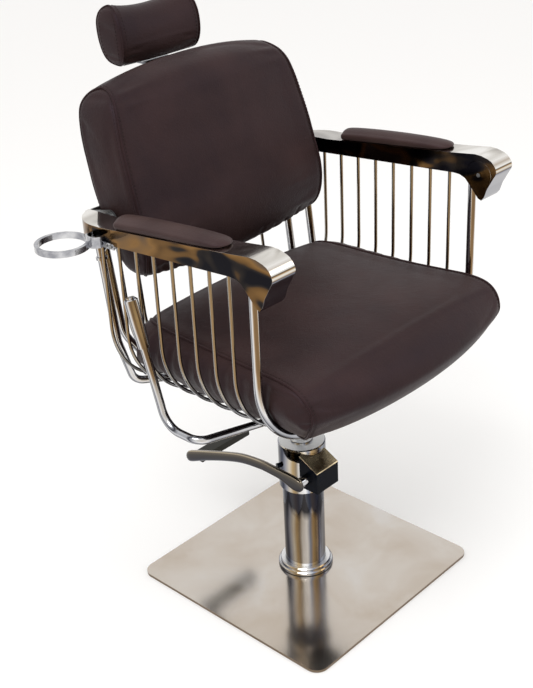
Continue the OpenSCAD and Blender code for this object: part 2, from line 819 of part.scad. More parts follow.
// One armrest bar: a shell open below, with its solid hook at the front
module arm() {
    front = bar_rear_y - hook_share * bar_len;
    color(chrome_c) difference() {
        intersection() {
            side_slab(bar_outline, bar_inner, bar_inner + bar_w);
            bar_plan(0, bar_tip_z - over, bar_tip_z + bar_rise + over);
        }
        intersection() {
            side_slab([
                [bar_rear_y, bar_point(0).y - bar_wall], bar_point(1) - [0, bar_wall],
                bar_point(2) - [0, bar_wall], [front, bar_point(3).y - 2 * bar_wall],
                [front, bar_tip_z], [bar_rear_y, bar_tip_z]
            ], bar_inner, bar_inner + bar_w);
            bar_plan(bar_wall, bar_tip_z - over, bar_tip_z + bar_rise + over);
        }
        x_round(bar_inner - over, bar_inner + bar_wall + over, pivot_y, pivot_z, pin_d / 2 + seat_gap);
        plug_place() cylinder(h = 2 * plug_t, r = plug_r + seat_gap, center = true);
    }
}
module left_arm() { arm(); }
module right_arm() { mirror([1, 0, 0]) arm(); }

// Base strips that close the bars from below and carry the wires
module arm_bases() {
    y0 = bar_rear_y - hook_share * bar_len + seat_gap;
    y1 = bar_rear_y - bar_wall;
    color(steel_c) both_sides() intersection() {
        side_slab([
            [y0, under_z(y0)], [y1, under_z(y1)],
            [y1, under_z(y1) + bar_wall], [y0, under_z(y0) + bar_wall]
        ], bar_inner, bar_inner + bar_w);
        bar_plan(bar_wall + seat_gap, bar_tip_z - over, bar_tip_z + bar_rise + over);
    }
}

// Place of the round plug in a bar's inner face
plug_t = 4;
plug_y = bar_rear_y - 0.925 * bar_len;
plug_z = bar_tip_z + 0.56 * bar_rise;
module plug_place() {
    translate([bar_inner, plug_y, plug_z]) rotate([0, 90, 0]) children();
}

// Round chrome plugs in the bars' inner faces
module arm_plugs() {
    color(chrome_c) both_sides() plug_place() difference() {
        translate([0, 0, -plug_t / 4]) cylinder(h = plug_t * 0.9, r = plug_r);
        translate([0, 0, -plug_t]) cylinder(h = 3 * plug_t, d = screw_d + 2 * seat_gap);
    }
}

// Screws in the plugs' centres
module plug_screws() {
    color(steel_c) both_sides() plug_place() translate([0, 0, -plug_t / 2])
        cylinder(h = plug_t, d = screw_d);
}

// Soft pad on an armrest bar, crowned, with drawn-in sides
pad_ring_shares = [
    [0, 0.88, 0.97], [0.1, 0.94, 0.985], [0.4, 1, 1], [0.6, 0.99, 0.995],
    [0.8, 0.9, 0.97], [0.93, 0.7, 0.92], [1, 0.3, 0.8]
];
module pad() {
    a = bar_point(1);
    b = bar_point(2);
    slope = atan2(b.y - a.y, a.x - b.x);
    mid_y = (a.x + b.x) / 2 - (a.x - b.x) * 0.03;
    mid_z = a.y + (a.x - mid_y) * tan(slope) + soft_gap;
    points = 40;
    color(leather_c) translate([bar_inner + bar_w / 2, mid_y, mid_z]) rotate([-slope, 0, 0]) loft([
        for (s = pad_ring_shares) [for (i = [0:points - 1]) let(q = squircle(i * 360 / points, 4))
            [q.x * s[1] * pad_w / 2, q.y * s[2] * pad_len / 2, s[0] * pad_t]]
    ]);
}
module left_pad() { pad(); }
module right_pad() { mirror([1, 0, 0]) pad(); }

// Board under the seat cushion
module seat_board() {
    y0 = -(front_hoop_y + tube_d);
    y1 = hoop_rear_y - 1.5 * hoop_pitch;
    color(black_c) translate([0, (y0 + y1) / 2, board_z])
        round_slab(2 * hoop_flat - tube_d, y1 - y0, plate_r, board_t);
}

// Rings of the seat cushion: shares of its height, of its width and of its length
seat_ring_shares = [
    [0, 0.9, 0.86], [0.03, 0.97, 0.9], [0.12, 1, 0.94], [0.25, 1, 0.975], [0.42, 1, 0.995], [0.6, 1, 1],
    [0.76, 1, 0.99], [0.85, 0.985, 0.975], [0.89, 0.945, 0.955], [0.93, 0.93, 0.94],
    [0.97, 0.86, 0.88], [0.99, 0.7, 0.72], [1, 0.42, 0.42]
];

// Half width that the cradle leaves for the cushion at a height
function cradle_half(z) = hoop_flat
    + sqrt(pow(hoop_r - wire_d / 2 - 10 * soft_gap, 2) - pow(max(bend_z - z, 0), 2));

// Seat cushion: a bucket that follows the cradle, with a bowed front
module seat_cushion() {
    points = 48;
    mid = (seat_rear - seat_corner) / 2;
    half = (seat_rear + seat_corner) / 2;
    color(leather_c) loft([
        for (s = seat_ring_shares) let(z = cushion_z + s[0] * seat_h)
            [for (i = [0:points - 1]) let(q = squircle(i * 360 / points, 5))
                let(taper = s[0] > 0.8 ? (q.y > 0 ? q.y * 0.08 : 0) : 0)
                [
                    q.x * s[1] * (1 - taper) * cradle_half(z),
                    mid + s[2] * (q.y * half
                        - (q.y < 0 ? -q.y * (1 - q.x * q.x) * (seat_front - seat_corner) : 0)),
                    z
                ]
            ]
    ]);
}

// Side outline of the backrest: shares of its depth from the front, and of its height from below
back_outline_shares = [
    [0.33, 0], [0.13, 0.07], [0.03, 0.145], [0, 0.23], [0.05, 0.374], [0.113, 0.44], [0.2, 0.58],
    [0.29, 0.704], [0.35, 0.81], [0.418, 0.906], [0.52, 0.965], [0.66, 1], [0.82, 0.99],
    [0.93, 0.95], [0.985, 0.9], [1, 0.83], [0.935, 0.68], [0.85, 0.545], [0.76, 0.39],
    [0.66, 0.28], [0.57, 0.17], [0.5, 0.07], [0.43, 0]
];

// Rings of the backrest across the chair: shares of its half width, of its height and of its depth
back_ring_shares = [
    [1, 0.74, 0.5], [0.992, 0.86, 0.78], [0.975, 0.92, 0.9], [0.95, 0.955, 0.96], [0.9, 0.98, 0.99],
    [0.8, 0.992, 1], [0.55, 1, 1.02], [0.2, 1, 1.03]
];

// Backrest cushion, crowned in front, with drawn-in sides
module back_cushion() {
    m = len(back_ring_shares);
    table = [for (i = [0:m - 1]) [-back_ring_shares[i][0], back_ring_shares[i][1], back_ring_shares[i][2]],
        for (i = [0:m - 1]) back_ring_shares[m - 1 - i]];
    color(leather_c) loft([
        for (s = table) [for (p = back_outline_shares)
            let(
                core = 0.35 + 0.3 * p[1],
                deep = p[0] < core ? core + (p[0] - core) * s[2] : core + (p[0] - core) * min(s[2], 1)
            )
            [
                s[0] * back_half,
                back_y0 + back_deep * deep,
                back_z0 + back_high * (0.5 + (p[1] - 0.5) * s[1])
            ]
        ]
    ]);
}

// Frame of the backrest's rear panel: its Y is off the panel, its Z runs up it
panel_y = back_y0 + 0.655 * back_deep;
panel_z = back_z0 + 0.22 * back_high;
module on_panel() {
    translate([0, panel_y, panel_z]) rotate([-panel_lean, 0, 0]) children();
}
panel_off = 7.3;
panel_high = 250;
panel_half = 200;

// Rear panel of the backrest
module back_panel() {
    color(black_c) on_panel() translate([-panel_half, panel_off, panel_high * 0.06])
        cube([2 * panel_half, panel_t, panel_high * 0.94]);
}

// Place of the recline pivot in the panel's frame
pivot_off = (pivot_y - panel_y) * cos(panel_lean) - (pivot_z - panel_z) * sin(panel_lean);
pivot_up = (pivot_y - panel_y) * sin(panel_lean) + (pivot_z - panel_z) * cos(panel_lean);
bracket_t = 4;
bracket_x = back_half + bracket_t;

// Brackets that join the rear panel to the recline pivot
module back_brackets() {
    back = panel_off + panel_t + seat_gap;
    half_h = pin_d + bracket_t;
    color(chrome_c) both_sides() on_panel() difference() {
        union() {
            translate([bracket_x, pivot_off, pivot_up - half_h])
                cube([bracket_t, back + bracket_t - pivot_off, 2 * half_h]);
            translate([panel_half * 0.7, back, pivot_up - half_h])
                cube([bracket_x + bracket_t - panel_half * 0.7, bracket_t, 2 * half_h]);
            x_round(bracket_x, bracket_x + bracket_t, pivot_off, pivot_up, half_h);
        }
        x_round(bracket_x - over, bracket_x + bracket_t + over, pivot_off, pivot_up, pin_d / 2 + run_gap);
    }
}

// Pins of the recline pivot, fixed in the armrest bars
module pivot_pins() {
    color(steel_c) both_sides() {
        x_round(bracket_x - seat_gap, bar_inner + bar_wall + over, pivot_y, pivot_z, pin_d / 2);
        x_round(bracket_x + bracket_t + side_gap, bar_inner - seat_gap, pivot_y, pivot_z, pin_d);
    }
}

// Places of the headrest's posts in the panel's frame
post_off = panel_off + panel_t + post_d + bracket_t;
tilt_up = 285;
guide_up = 190;
guide_h = 44;
module post_places() {
    for (s = [-1, 1]) translate([s * post_gap / 2, post_off, 0]) children();
}

// Guide block that the headrest's posts slide in
module post_guide() {
    y0 = panel_off + panel_t + seat_gap;
    deep = post_off + post_d - y0;
    color(black_c) on_panel() difference() {
        translate([-post_gap / 2 - post_d * 1.5, y0, guide_up]) cube([post_gap + post_d * 3, deep, guide_h]);
        post_places() translate([0, 0, guide_up - over])
            cylinder(h = guide_h + 2 * over, d = post_d + 2 * run_gap);
    }
}

// Two posts of the headrest, joined by the tilt pin at the top
module headrest_posts() {
    color(chrome_c) on_panel() {
        post_places() translate([0, 0, tilt_up - post_len]) cylinder(h = post_len, d = post_d);
        x_round(-post_gap / 2 - post_d, post_gap / 2 + post_d, post_off, tilt_up, post_d / 2);
    }
}

// Place of the tilt pin
tilt_y = panel_y + post_off * cos(panel_lean) + tilt_up * sin(panel_lean);
tilt_z = panel_z - post_off * sin(panel_lean) + tilt_up * cos(panel_lean);
head_lift = 5;
head_z = tilt_z + post_d / 2 + head_lift;

// Chrome bracket under the headrest, with ears on the tilt pin
module headrest_bracket() {
    ear_t = 4;
    ear_x = post_gap / 2 - post_d / 2 - side_gap - ear_t;
    plate_z = head_z - bracket_t - soft_gap;
    ear_r = post_d / 2 + ear_t;
    color(chrome_c) difference() {
        union() {
            translate([-post_gap / 2 - post_d, tilt_y - ear_r, plate_z])
                cube([post_gap + 2 * post_d, head_deep * 0.6, bracket_t]);
            for (s = [-1, 1]) {
                x_round(s * ear_x - (s < 0 ? ear_t : 0), s * ear_x + (s < 0 ? 0 : ear_t),
                    tilt_y, tilt_z, ear_r);
                translate([s * ear_x - (s < 0 ? ear_t : 0), tilt_y - ear_r, tilt_z])
                    cube([ear_t, 2 * ear_r, plate_z - tilt_z + over]);
            }
        }
        x_round(-post_gap, post_gap, tilt_y, tilt_z, post_d / 2 + run_gap);
        for (s = [-1, 1]) translate([s * post_gap / 2, 0, 0])
            x_round(-post_d / 2 - side_gap, post_d / 2 + side_gap, tilt_y, tilt_z, ear_r + side_gap);
    }
}

// Side outline of the headrest: shares of its depth and of its height
head_outline_shares = [
    [0.3, 0], [0.12, 0.1], [0.03, 0.28], [0, 0.5], [0.03, 0.72], [0.12, 0.9], [0.32, 1],
    [0.62, 1], [0.85, 0.9], [0.97, 0.7], [1, 0.45], [0.95, 0.2], [0.8, 0.04], [0.55, 0]
];
head_ring_shares = [
    [1, 0.72, 0.66], [0.985, 0.86, 0.84], [0.95, 0.97, 0.96], [0.9, 1, 1], [0.7, 0.985, 0.99],
    [0.4, 0.965, 0.97], [0.1, 0.955, 0.96]
];

// Headrest cushion, saddled in the middle
module headrest_cushion() {
    m = len(head_ring_shares);
    table = [for (i = [0:m - 1]) [-head_ring_shares[i][0], head_ring_shares[i][1], head_ring_shares[i][2]],
        for (i = [0:m - 1]) head_ring_shares[m - 1 - i]];
    lean = 0.16;
    color(leather_c) loft([
        for (s = table) [for (p = head_outline_shares) let(
            up = p[1] < 0.5 ? (s[1] < 0.9 ? 0.5 + (p[1] - 0.5) * s[1] : p[1]) : 0.5 + (p[1] - 0.5) * s[1]
        ) [
            s[0] * head_half,
            tilt_y - head_deep * 0.4 + head_deep * (0.55 + (p[0] - 0.55) * s[2]) + up * head_high * lean,
            head_z + up * head_high
        ]]
    ]);
}

// Axis of the recline lever's shaft, which rises outwards
recline_rise = 0.22;
recline_inner = 108;
bearing_wall = 5;
knee_r = 24;
elbow_r = 45;
grip_up = 152;
function recline_at(x) = [-x, -recline_y, recline_z - (recline_x - x) * recline_rise];
recline_knee = recline_at(recline_x);
grip_lean = 0.28;
elbow_y = 23;
grip_z0 = recline_z + grip_up;
function lever_up(z) = [-recline_x, elbow_y + (z - recline_z) * grip_lean, z];

// Bearing tube of the recline lever, on a web under the mount plate
module lever_bearing() {
    web_t = 10;
    x0 = mount_w / 2 - bracket_t;
    color(black_c) difference() {
        union() {
            bar(recline_at(recline_inner), recline_at(mount_w / 2), recline_d + 2 * bearing_wall);
            translate([-x0, -recline_y - web_t / 2, recline_at(x0).z])
                cube([x0 - recline_inner, web_t, mount_z - recline_at(x0).z - seat_gap]);
        }
        bar(recline_at(recline_inner / 2), recline_at(mount_w), recline_d + 2 * run_gap);
    }
}

// Recline lever: a bent tube from under the seat to the sitter's right hand
module recline_lever() {
    color(chrome_c) bent_tube([
        recline_at(recline_inner - over), recline_knee, lever_up(recline_z),
        lever_up(grip_z0 + grip_len * 0.9)
    ], [knee_r, elbow_r], recline_d);
}

// Grip sleeve on the recline lever
module lever_grip() {
    v = lever_up(grip_z0 + grip_len) - lever_up(grip_z0);
    tilt = -atan(grip_lean);
    long = norm(v);
    color(chrome_c) translate(lever_up(grip_z0)) rotate([tilt, 0, 0]) difference() {
        rotate_extrude() polygon([
            [0, 0], [grip_d * 0.42, 0], [grip_d / 2, long * 0.6], [grip_d / 2, long - over * 2],
            [grip_d / 2 - over * 2, long], [0, long]
        ]);
        translate([0, 0, -over]) cylinder(h = long * 0.9 + over + seat_gap, d = recline_d + seat_gap);
    }
}

// Chrome cap on the grip's end
module grip_cap() {
    cap_t = 3;
    v = lever_up(grip_z0 + grip_len) - lever_up(grip_z0);
    color(chrome_c) translate(lever_up(grip_z0)) rotate([-atan(grip_lean), 0, 0])
        translate([0, 0, norm(v)]) cylinder(h = cap_t, d = grip_d - 3 * cap_t);
}

// Dryer holder on the right armrest bar's outer face: a ring with a small socket beside it
pocket_d = 37;
pocket_wall = 4;
pocket_h = 21;
pocket_out = 5;
foot_l = 46;
foot_t = 4;
holder_screw_d = 4;
holder_y = 163;
holder_screw_ys = [holder_y - foot_l + 2 * holder_screw_d, holder_y - foot_l + 5 * holder_screw_d];
holder_z0 = bar_point(1).y - 11 * bar_wall;
holder_x = bar_inner + bar_w + pocket_out;
ring_out_share = 0.455;
ring_back_share = 0.4;
ring_c = [holder_x + ring_d * ring_out_share, holder_y + ring_d * ring_back_share, holder_z0];

// Ring and socket of the dryer holder, with the foot that is screwed to the bar
module dryer_holder() {
    face_x = bar_inner + bar_w + seat_gap;
    color(chrome_c) mirror([1, 0, 0]) difference() {
        union() {
            difference() {
                translate(ring_c) cylinder(h = ring_h, d = ring_d);
                translate(ring_c - [0, 0, over]) cylinder(h = ring_h + 2 * over, d = ring_d - 2 * ring_wall);
            }
            translate([holder_x, holder_y, holder_z0]) cylinder(h = pocket_h, d = pocket_d);
            translate([face_x, holder_y - foot_l, holder_z0]) cube([foot_t, foot_l, ring_h]);
        }
        translate([holder_x, holder_y, holder_z0 - over])
            cylinder(h = pocket_h + 2 * over, d = pocket_d - 2 * pocket_wall);
        translate([face_x - ring_d, holder_y - ring_d, holder_z0 - over])
            cube([ring_d, 2 * ring_d, pocket_h + 2 * over]);
        for (y = holder_screw_ys) x_round(face_x - over, face_x + foot_t + over, y,
            holder_z0 + ring_h / 2, holder_screw_d / 2 + seat_gap / 2);
    }
}

// Screws of the dryer holder's foot
module holder_screws() {
    x0 = bar_inner + bar_w + 2 * seat_gap;
    head_x = x0 + foot_t;
    head_h = holder_screw_d / 2;
    color(steel_c) mirror([1, 0, 0]) for (y = holder_screw_ys) {
        x_round(x0, head_x + head_h, y, holder_z0 + ring_h / 2, holder_screw_d / 2);
        x_round(head_x, head_x + head_h, y, holder_z0 + ring_h / 2, holder_screw_d);
    }
}
base_plate();
flange_screws();
foot_flange();
collar_gasket();
floor_collar();
column_cover();
lift_cylinder();
pump_head();
rod_guide();
plunger_barrel();
pump_box();
pump_lid();
oil_plug();
pump_plunger();
lever_shaft();
lever_sleeve();
pump_crank();
pump_lever();
foot_pedal();
piston_rod();
piston();
seat_mount();
cross_bars();
front_cradle();
front_uprights();
wire_cradles();
left_wires();
right_wires();
left_rail();
right_rail();
rear_posts();
back_wires();
rear_hoop();
post_rings();
left_arm();
right_arm();
arm_bases();
arm_plugs();
plug_screws();
left_pad();
right_pad();
seat_board();
seat_cushion();
pivot_pins();
back_cushion();
back_panel();
back_brackets();
post_guide();
headrest_posts();
headrest_bracket();
headrest_cushion();
lever_bearing();
recline_lever();
lever_grip();
grip_cap();
dryer_holder();
holder_screws();
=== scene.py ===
"""Threading chair: leatherette covers, chrome tubes and armrest bars, studio floor, light and camera."""
import math

import bmesh
import bpy
import numpy as np
from mathutils import Matrix, Vector
from mathutils.kdtree import KDTree


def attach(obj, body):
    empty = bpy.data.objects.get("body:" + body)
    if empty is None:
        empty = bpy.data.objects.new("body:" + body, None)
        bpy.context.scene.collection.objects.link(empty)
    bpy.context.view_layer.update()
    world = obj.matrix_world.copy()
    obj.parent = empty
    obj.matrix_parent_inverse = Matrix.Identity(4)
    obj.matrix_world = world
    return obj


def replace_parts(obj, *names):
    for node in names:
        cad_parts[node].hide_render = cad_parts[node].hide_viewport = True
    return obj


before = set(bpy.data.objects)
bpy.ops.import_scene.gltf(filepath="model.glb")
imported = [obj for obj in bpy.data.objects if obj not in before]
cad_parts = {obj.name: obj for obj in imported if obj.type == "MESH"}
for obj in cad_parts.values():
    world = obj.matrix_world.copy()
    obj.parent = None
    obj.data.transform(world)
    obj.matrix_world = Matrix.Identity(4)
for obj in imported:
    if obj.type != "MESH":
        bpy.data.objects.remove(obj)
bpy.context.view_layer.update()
scene = bpy.context.scene
MM = 0.001


# ---------------- camera

def aim_camera():
    """The photograph's own viewpoint, fitted to the plate, the level bars and the column."""
    turn, rise, roll = (math.radians(a) for a in (-45.844, 27.067, -2.859))
    back = Vector((math.sin(turn) * math.cos(rise), -math.cos(turn) * math.cos(rise), math.sin(rise)))
    right = Vector((math.cos(turn), math.sin(turn), 0))
    up = back.cross(right)
    across = right * math.cos(roll) + up * math.sin(roll)
    upward = up * math.cos(roll) - right * math.sin(roll)
    lens = bpy.data.cameras.new("photo_camera")
    lens.lens = 62.61
    lens.sensor_fit = "VERTICAL"
    lens.sensor_height = 36
    camera = bpy.data.objects.new("photo_camera", lens)
    scene.collection.objects.link(camera)
    aim, distance = Vector((0.24214, 0.32276, 0.340)), 2.83625
    stand = Matrix((across, upward, back)).transposed().to_4x4()
    stand.translation = aim + back * distance
    camera.matrix_world = stand
    scene.camera = camera


# ---------------- nodes and finishes

def paint(code):
    """An sRGB hex colour as the linear colour that a shader takes."""
    channels = [int(code[i:i + 2], 16) / 255 for i in (1, 3, 5)]
    return tuple(c / 12.92 if c <= 0.04045 else ((c + 0.055) / 1.055) ** 2.4 for c in channels) + (1.0,)


def source_of(value):
    """The socket that a link starts from: an output itself, or a node's first working output."""
    return next(o for o in value.outputs if o.enabled) if isinstance(value, bpy.types.Node) else value


def add(tree, kind, inputs=None, stops=None, **settings):
    """Adds a node with its settings, colour stops and inputs: values, outputs or nodes. A kind without Node in its name
    is a shader node."""
    node = tree.nodes.new(kind if "Node" in kind else "ShaderNode" + kind)
    for name, value in settings.items():
        setattr(node, name, value)
    if stops:
        band = node.color_ramp
        while len(band.elements) < len(stops):
            band.elements.new(1.0)
        for element, (place, code) in zip(band.elements, stops):
            element.position = place
            element.color = paint(code)
    for name, value in (inputs or {}).items():
        value = source_of(value)
        if isinstance(value, bpy.types.NodeSocket):
            tree.links.new(value, node.inputs[name])
        else:
            node.inputs[name].default_value = value
    return node


def new_finish(name, **sockets):
    """A material with one shader, its even values set on the shader's own sockets."""
    finish = bpy.data.materials.new(name)
    finish.use_nodes = True
    tree = finish.node_tree
    surface = tree.nodes["Principled BSDF"]
    for socket, value in sockets.items():
        surface.inputs[socket.replace("_", " ")].default_value = value
    return finish, tree, surface


def feed(tree, surface, **sources):
    """Links node outputs to the shader's sockets."""
    for socket, output in sources.items():
        tree.links.new(source_of(output), surface.inputs[socket.replace("_", " ")])


def embossed_leatherette(name, dark, middle, light, pebble=2.4, gleam=0.18):
    """Polyurethane leatherette, embossed: a low sheen on the lit rolls, broken by a fine pebble."""
    finish, tree, surface = new_finish(name, Specular_IOR_Level=gleam)
    surface.inputs["Specular Tint"].default_value = paint("#bcb6dc")
    where = add(tree, "TexCoord").outputs["Object"]
    # Colour drifts over hand-sized areas, about 120 mm
    drift = add(tree, "TexNoise", {"Vector": where, "Scale": 1 / 0.12, "Detail": 4.0, "Roughness": 0.55})
    tone = add(tree, "ValToRGB", {"Fac": drift}, stops=[(0.3, dark), (0.52, middle), (0.75, light)])
    # The pebble is 1.2 mm in the real cover, drawn coarser so that it shows
    grain = add(tree, "TexVoronoi", {"Vector": where, "Scale": 1 / (pebble * MM), "Smoothness": 0.7},
                feature="SMOOTH_F1")
    # Rubbed patches of about 30 mm are a little glossier
    rub = add(tree, "TexNoise", {"Vector": where, "Scale": 1 / 0.03, "Detail": 3.0})
    gloss = add(tree, "MapRange", {"Value": rub, "To Min": 0.40, "To Max": 0.54})
    fold = add(tree, "TexNoise", {"Vector": where, "Scale": 1 / 0.016, "Detail": 3.0, "Distortion": 0.6})
    relief = add(tree, "Bump", {"Height": grain, "Strength": 0.42, "Distance": 0.0009})
    soft = add(tree, "Bump", {"Height": fold, "Normal": relief, "Strength": 0.12, "Distance": 0.004})
    feed(tree, surface, Base_Color=tone, Roughness=gloss, Normal=soft)
    return finish


def painted_reflection_chrome(name, toward, stops, wander=0.10, rough=(0.05, 0.12), painted_floor_reflection=None, soft_top=False, painted_box_reflection=None):
    """Bright chrome plate with painted reflections: warm, silver and dark bands painted by the way a face looks, so
    they run along a tube.
    """
    finish, tree, surface = new_finish(name, Metallic=1.0)
    spot = add(tree, "TexCoord")
    facing = add(tree, "VectorMath", {0: spot.outputs["Normal"], 1: toward}, operation="DOT_PRODUCT")
    # The painted reflection bands wander a little over about 120 mm, as the plate is never quite even
    swim = add(tree, "TexNoise", {"Vector": spot.outputs["Object"], "Scale": 1 / 0.12, "Detail": 2.0})
    shift = add(tree, "MapRange", {"Value": swim, "To Min": 0.5 - wander, "To Max": 0.5 + wander})
    fac = add(tree, "Math", {0: facing, 1: 0.5, 2: shift}, operation="MULTIPLY_ADD")
    if painted_floor_reflection:
        # Painted floor reflection: the low bends look at the floor, so their warm core is painted over with silver
        # there
        height = add(tree, "SeparateXYZ", {"Vector": spot.outputs["Object"]})
        sink = add(tree, "MapRange", {"Value": height.outputs["Z"], "From Min": painted_floor_reflection[0],
                                      "From Max": painted_floor_reflection[1], "To Min": -0.13, "To Max": 0.0})
        fac = add(tree, "Math", {0: fac, 1: sink}, operation="ADD")
    # The stops are painted reflections: warm, silver, navy and dark bands of a room seen in chrome
    tone = add(tree, "ValToRGB", {"Fac": fac}, stops=stops)
    if painted_box_reflection:
        # Painted reflection of the dark pump box: the column just under it is painted navy, with a cloudy edge
        height = add(tree, "SeparateXYZ", {"Vector": spot.outputs["Object"]})
        cloud = add(tree, "TexNoise", {"Vector": spot.outputs["Normal"], "Scale": 2.6, "Detail": 1.0})
        edge = add(tree, "Math", {0: cloud, 1: painted_box_reflection[1], 2: painted_box_reflection[0]}, operation="MULTIPLY_ADD")
        past = add(tree, "Math", {0: height.outputs["Z"], 1: edge}, operation="SUBTRACT")
        share = add(tree, "MapRange", {"Value": past, "From Min": 0.0, "From Max": 0.022, "To Max": 0.92})
        below = add(tree, "MapRange", {"Value": height.outputs["Z"], "From Min": 0.213, "From Max": 0.211})
        share = add(tree, "Math", {0: share, 1: below}, operation="MULTIPLY")
        tone = add(tree, "Mix", {"Factor": share, "A": tone, "B": paint("#141a2a")}, data_type="RGBA")
    # Wiping marks of about 14 mm
    wipe = add(tree, "TexNoise", {"Vector": spot.outputs["Object"], "Scale": 1 / 0.014, "Detail": 3.0})
    gloss = add(tree, "MapRange", {"Value": wipe, "To Min": rough[0], "To Max": rough[1]})
    if soft_top:
        # Flat tops are only ground, not buffed
        level = add(tree, "SeparateXYZ", {"Vector": spot.outputs["Normal"]})
        ground = add(tree, "MapRange", {"Value": level.outputs["Z"], "From Min": 0.9, "From Max": 1.0, "To Max": 0.32})
        gloss = add(tree, "Math", {0: gloss, 1: ground}, operation="ADD")
    feed(tree, surface, Base_Color=tone, Roughness=gloss)
    return finish


def painted_reflection_bar():
    """Chrome plate over pressed steel, mirror polished, with painted reflections: broad brown-gold and near-black
    patches painted on the flat faces and paler painted tops.
    """
    finish, tree, surface = new_finish("chrome_plated_bar", Metallic=1.0)
    spot = add(tree, "TexCoord")
    # The painted reflection patches are about 90 mm long and 50 mm high
    stretch = add(tree, "Mapping", {"Vector": spot.outputs["Object"], "Scale": (9.0, 9.0, 15.0)})
    turned = add(tree, "VectorMath", {0: spot.outputs["Normal"], 1: (1.3, 1.3, 1.3), 2: stretch},
                 operation="MULTIPLY_ADD")
    patch = add(tree, "TexNoise", {"Vector": turned, "Scale": 1.0, "Detail": 1.5, "Distortion": 0.8})
    side = add(tree, "ValToRGB", {"Fac": patch},
               stops=[(0.38, "#141318"), (0.43, "#2a2522"), (0.47, "#5f4629"), (0.57, "#7f5f38"), (0.68, "#4d453f")])
    top = add(tree, "ValToRGB", {"Fac": patch},
              stops=[(0.35, "#8b8580"), (0.5, "#c9c4bc"), (0.65, "#ece9e4")])
    # Painted light: faces that look up take the pale painted reflection, the sides the dark and gold one
    parts = add(tree, "SeparateXYZ", {"Vector": spot.outputs["Normal"]})
    upward = add(tree, "MapRange", {"Value": parts.outputs["Z"], "From Min": 0.35, "From Max": 0.8})
    flat = add(tree, "Mix", {"Factor": upward, "A": side, "B": top}, data_type="RGBA")
    # Painted reflection on the rolled nose: the room drawn as narrow bands, navy below and bright above
    rolled = add(tree, "MapRange", {"Value": parts.outputs["Z"], "From Min": -0.8, "From Max": 1.0})
    nose = add(tree, "ValToRGB", {"Fac": rolled}, stops=[
        (0.0, "#808187"), (0.20, "#9b9b9f"), (0.31, "#454a5e"), (0.37, "#8b7352"), (0.44, "#c9c4ba"),
        (0.52, "#e8e2d6"), (0.58, "#a98a60"), (0.635, "#4b3d30"), (0.69, "#f1eee8"), (0.80, "#b9ada0"),
        (0.90, "#e9e6e1"), (1.0, "#c9c4bc")])
    forward = add(tree, "MapRange", {"Value": parts.outputs["Y"], "From Min": -0.2, "From Max": -0.34})
    tone = add(tree, "Mix", {"Factor": forward, "A": flat, "B": nose}, data_type="RGBA")
    wipe = add(tree, "TexNoise", {"Vector": spot.outputs["Object"], "Scale": 1 / 0.02, "Detail": 3.0})
    gloss = add(tree, "MapRange", {"Value": wipe, "To Min": 0.06, "To Max": 0.14})
    feed(tree, surface, Base_Color=tone, Roughness=gloss)
    return finish


def polished_plate():
    """Stainless sheet, mirror polished: a clear soft mirror with hand smudges of about 160 mm."""
    finish, tree, surface = new_finish("mirror_polished_stainless", Metallic=1.0)
    where = add(tree, "TexCoord").outputs["Object"]
    smudge = add(tree, "TexNoise", {"Vector": where, "Scale": 1 / 0.16, "Detail": 4.0, "Distortion": 0.5})
    tone = add(tree, "ValToRGB", {"Fac": smudge},
               stops=[(0.3, "#bdb1a3"), (0.45, "#c5bbb0"), (0.6, "#cbc3ba"), (0.75, "#d0cbc6")])
    haze = add(tree, "MapRange", {"Value": smudge, "From Min": 0.3, "From Max": 0.7, "To Min": 0.11, "To Max": 0.20})
    # Painted shade: the plate's sideways edge faces are painted a darker brown-grey
    level = add(tree, "SeparateXYZ", {"Vector": add(tree, "TexCoord").outputs["Normal"]})
    flat = add(tree, "MapRange", {"Value": level.outputs["Z"], "From Min": 0.1, "From Max": 0.5})
    tone = add(tree, "Mix", {"Factor": flat, "A": paint("#7d6d5c"), "B": tone}, data_type="RGBA")
    feed(tree, surface, Base_Color=tone, Roughness=haze)
    return finish


def satin_metal(name, dark, light, rough, size=0.02):
    """Cast or machined metal, satin plated: a soft even shine with faint darker places."""
    finish, tree, surface = new_finish(name, Metallic=1.0)
    where = add(tree, "TexCoord").outputs["Object"]
    cloud = add(tree, "TexNoise", {"Vector": where, "Scale": 1 / size, "Detail": 4.0})
    tone = add(tree, "ValToRGB", {"Fac": cloud}, stops=[(0.3, dark), (0.7, light)])
    # Blasting leaves a grit of about 0.8 mm
    grit = add(tree, "TexNoise", {"Vector": where, "Scale": 1 / 0.0008, "Detail": 2.0})
    relief = add(tree, "Bump", {"Height": grit, "Strength": 0.06, "Distance": 0.0002})
    gloss = add(tree, "MapRange", {"Value": cloud, "To Min": rough * 0.8, "To Max": rough * 1.2})
    feed(tree, surface, Base_Color=tone, Roughness=gloss, Normal=relief)
    return finish


def plain_coat(name, dark, light, rough, grit=1.5, lift=0.0003, **sockets):
    """Paint, rubber, ply or thread: one colour with slight drift and a fine relief."""
    finish, tree, surface = new_finish(name, **sockets)
    where = add(tree, "TexCoord").outputs["Object"]
    cloud = add(tree, "TexNoise", {"Vector": where, "Scale": 1 / 0.03, "Detail": 4.0})
    tone = add(tree, "ValToRGB", {"Fac": cloud}, stops=[(0.3, dark), (0.7, light)])
    fine = add(tree, "TexNoise", {"Vector": where, "Scale": 1 / (grit * MM), "Detail": 2.0})
    relief = add(tree, "Bump", {"Height": fine, "Strength": 0.2, "Distance": lift})
    gloss = add(tree, "MapRange", {"Value": cloud, "To Min": rough * 0.85, "To Max": rough * 1.15})
    feed(tree, surface, Base_Color=tone, Roughness=gloss, Normal=relief)
    return finish


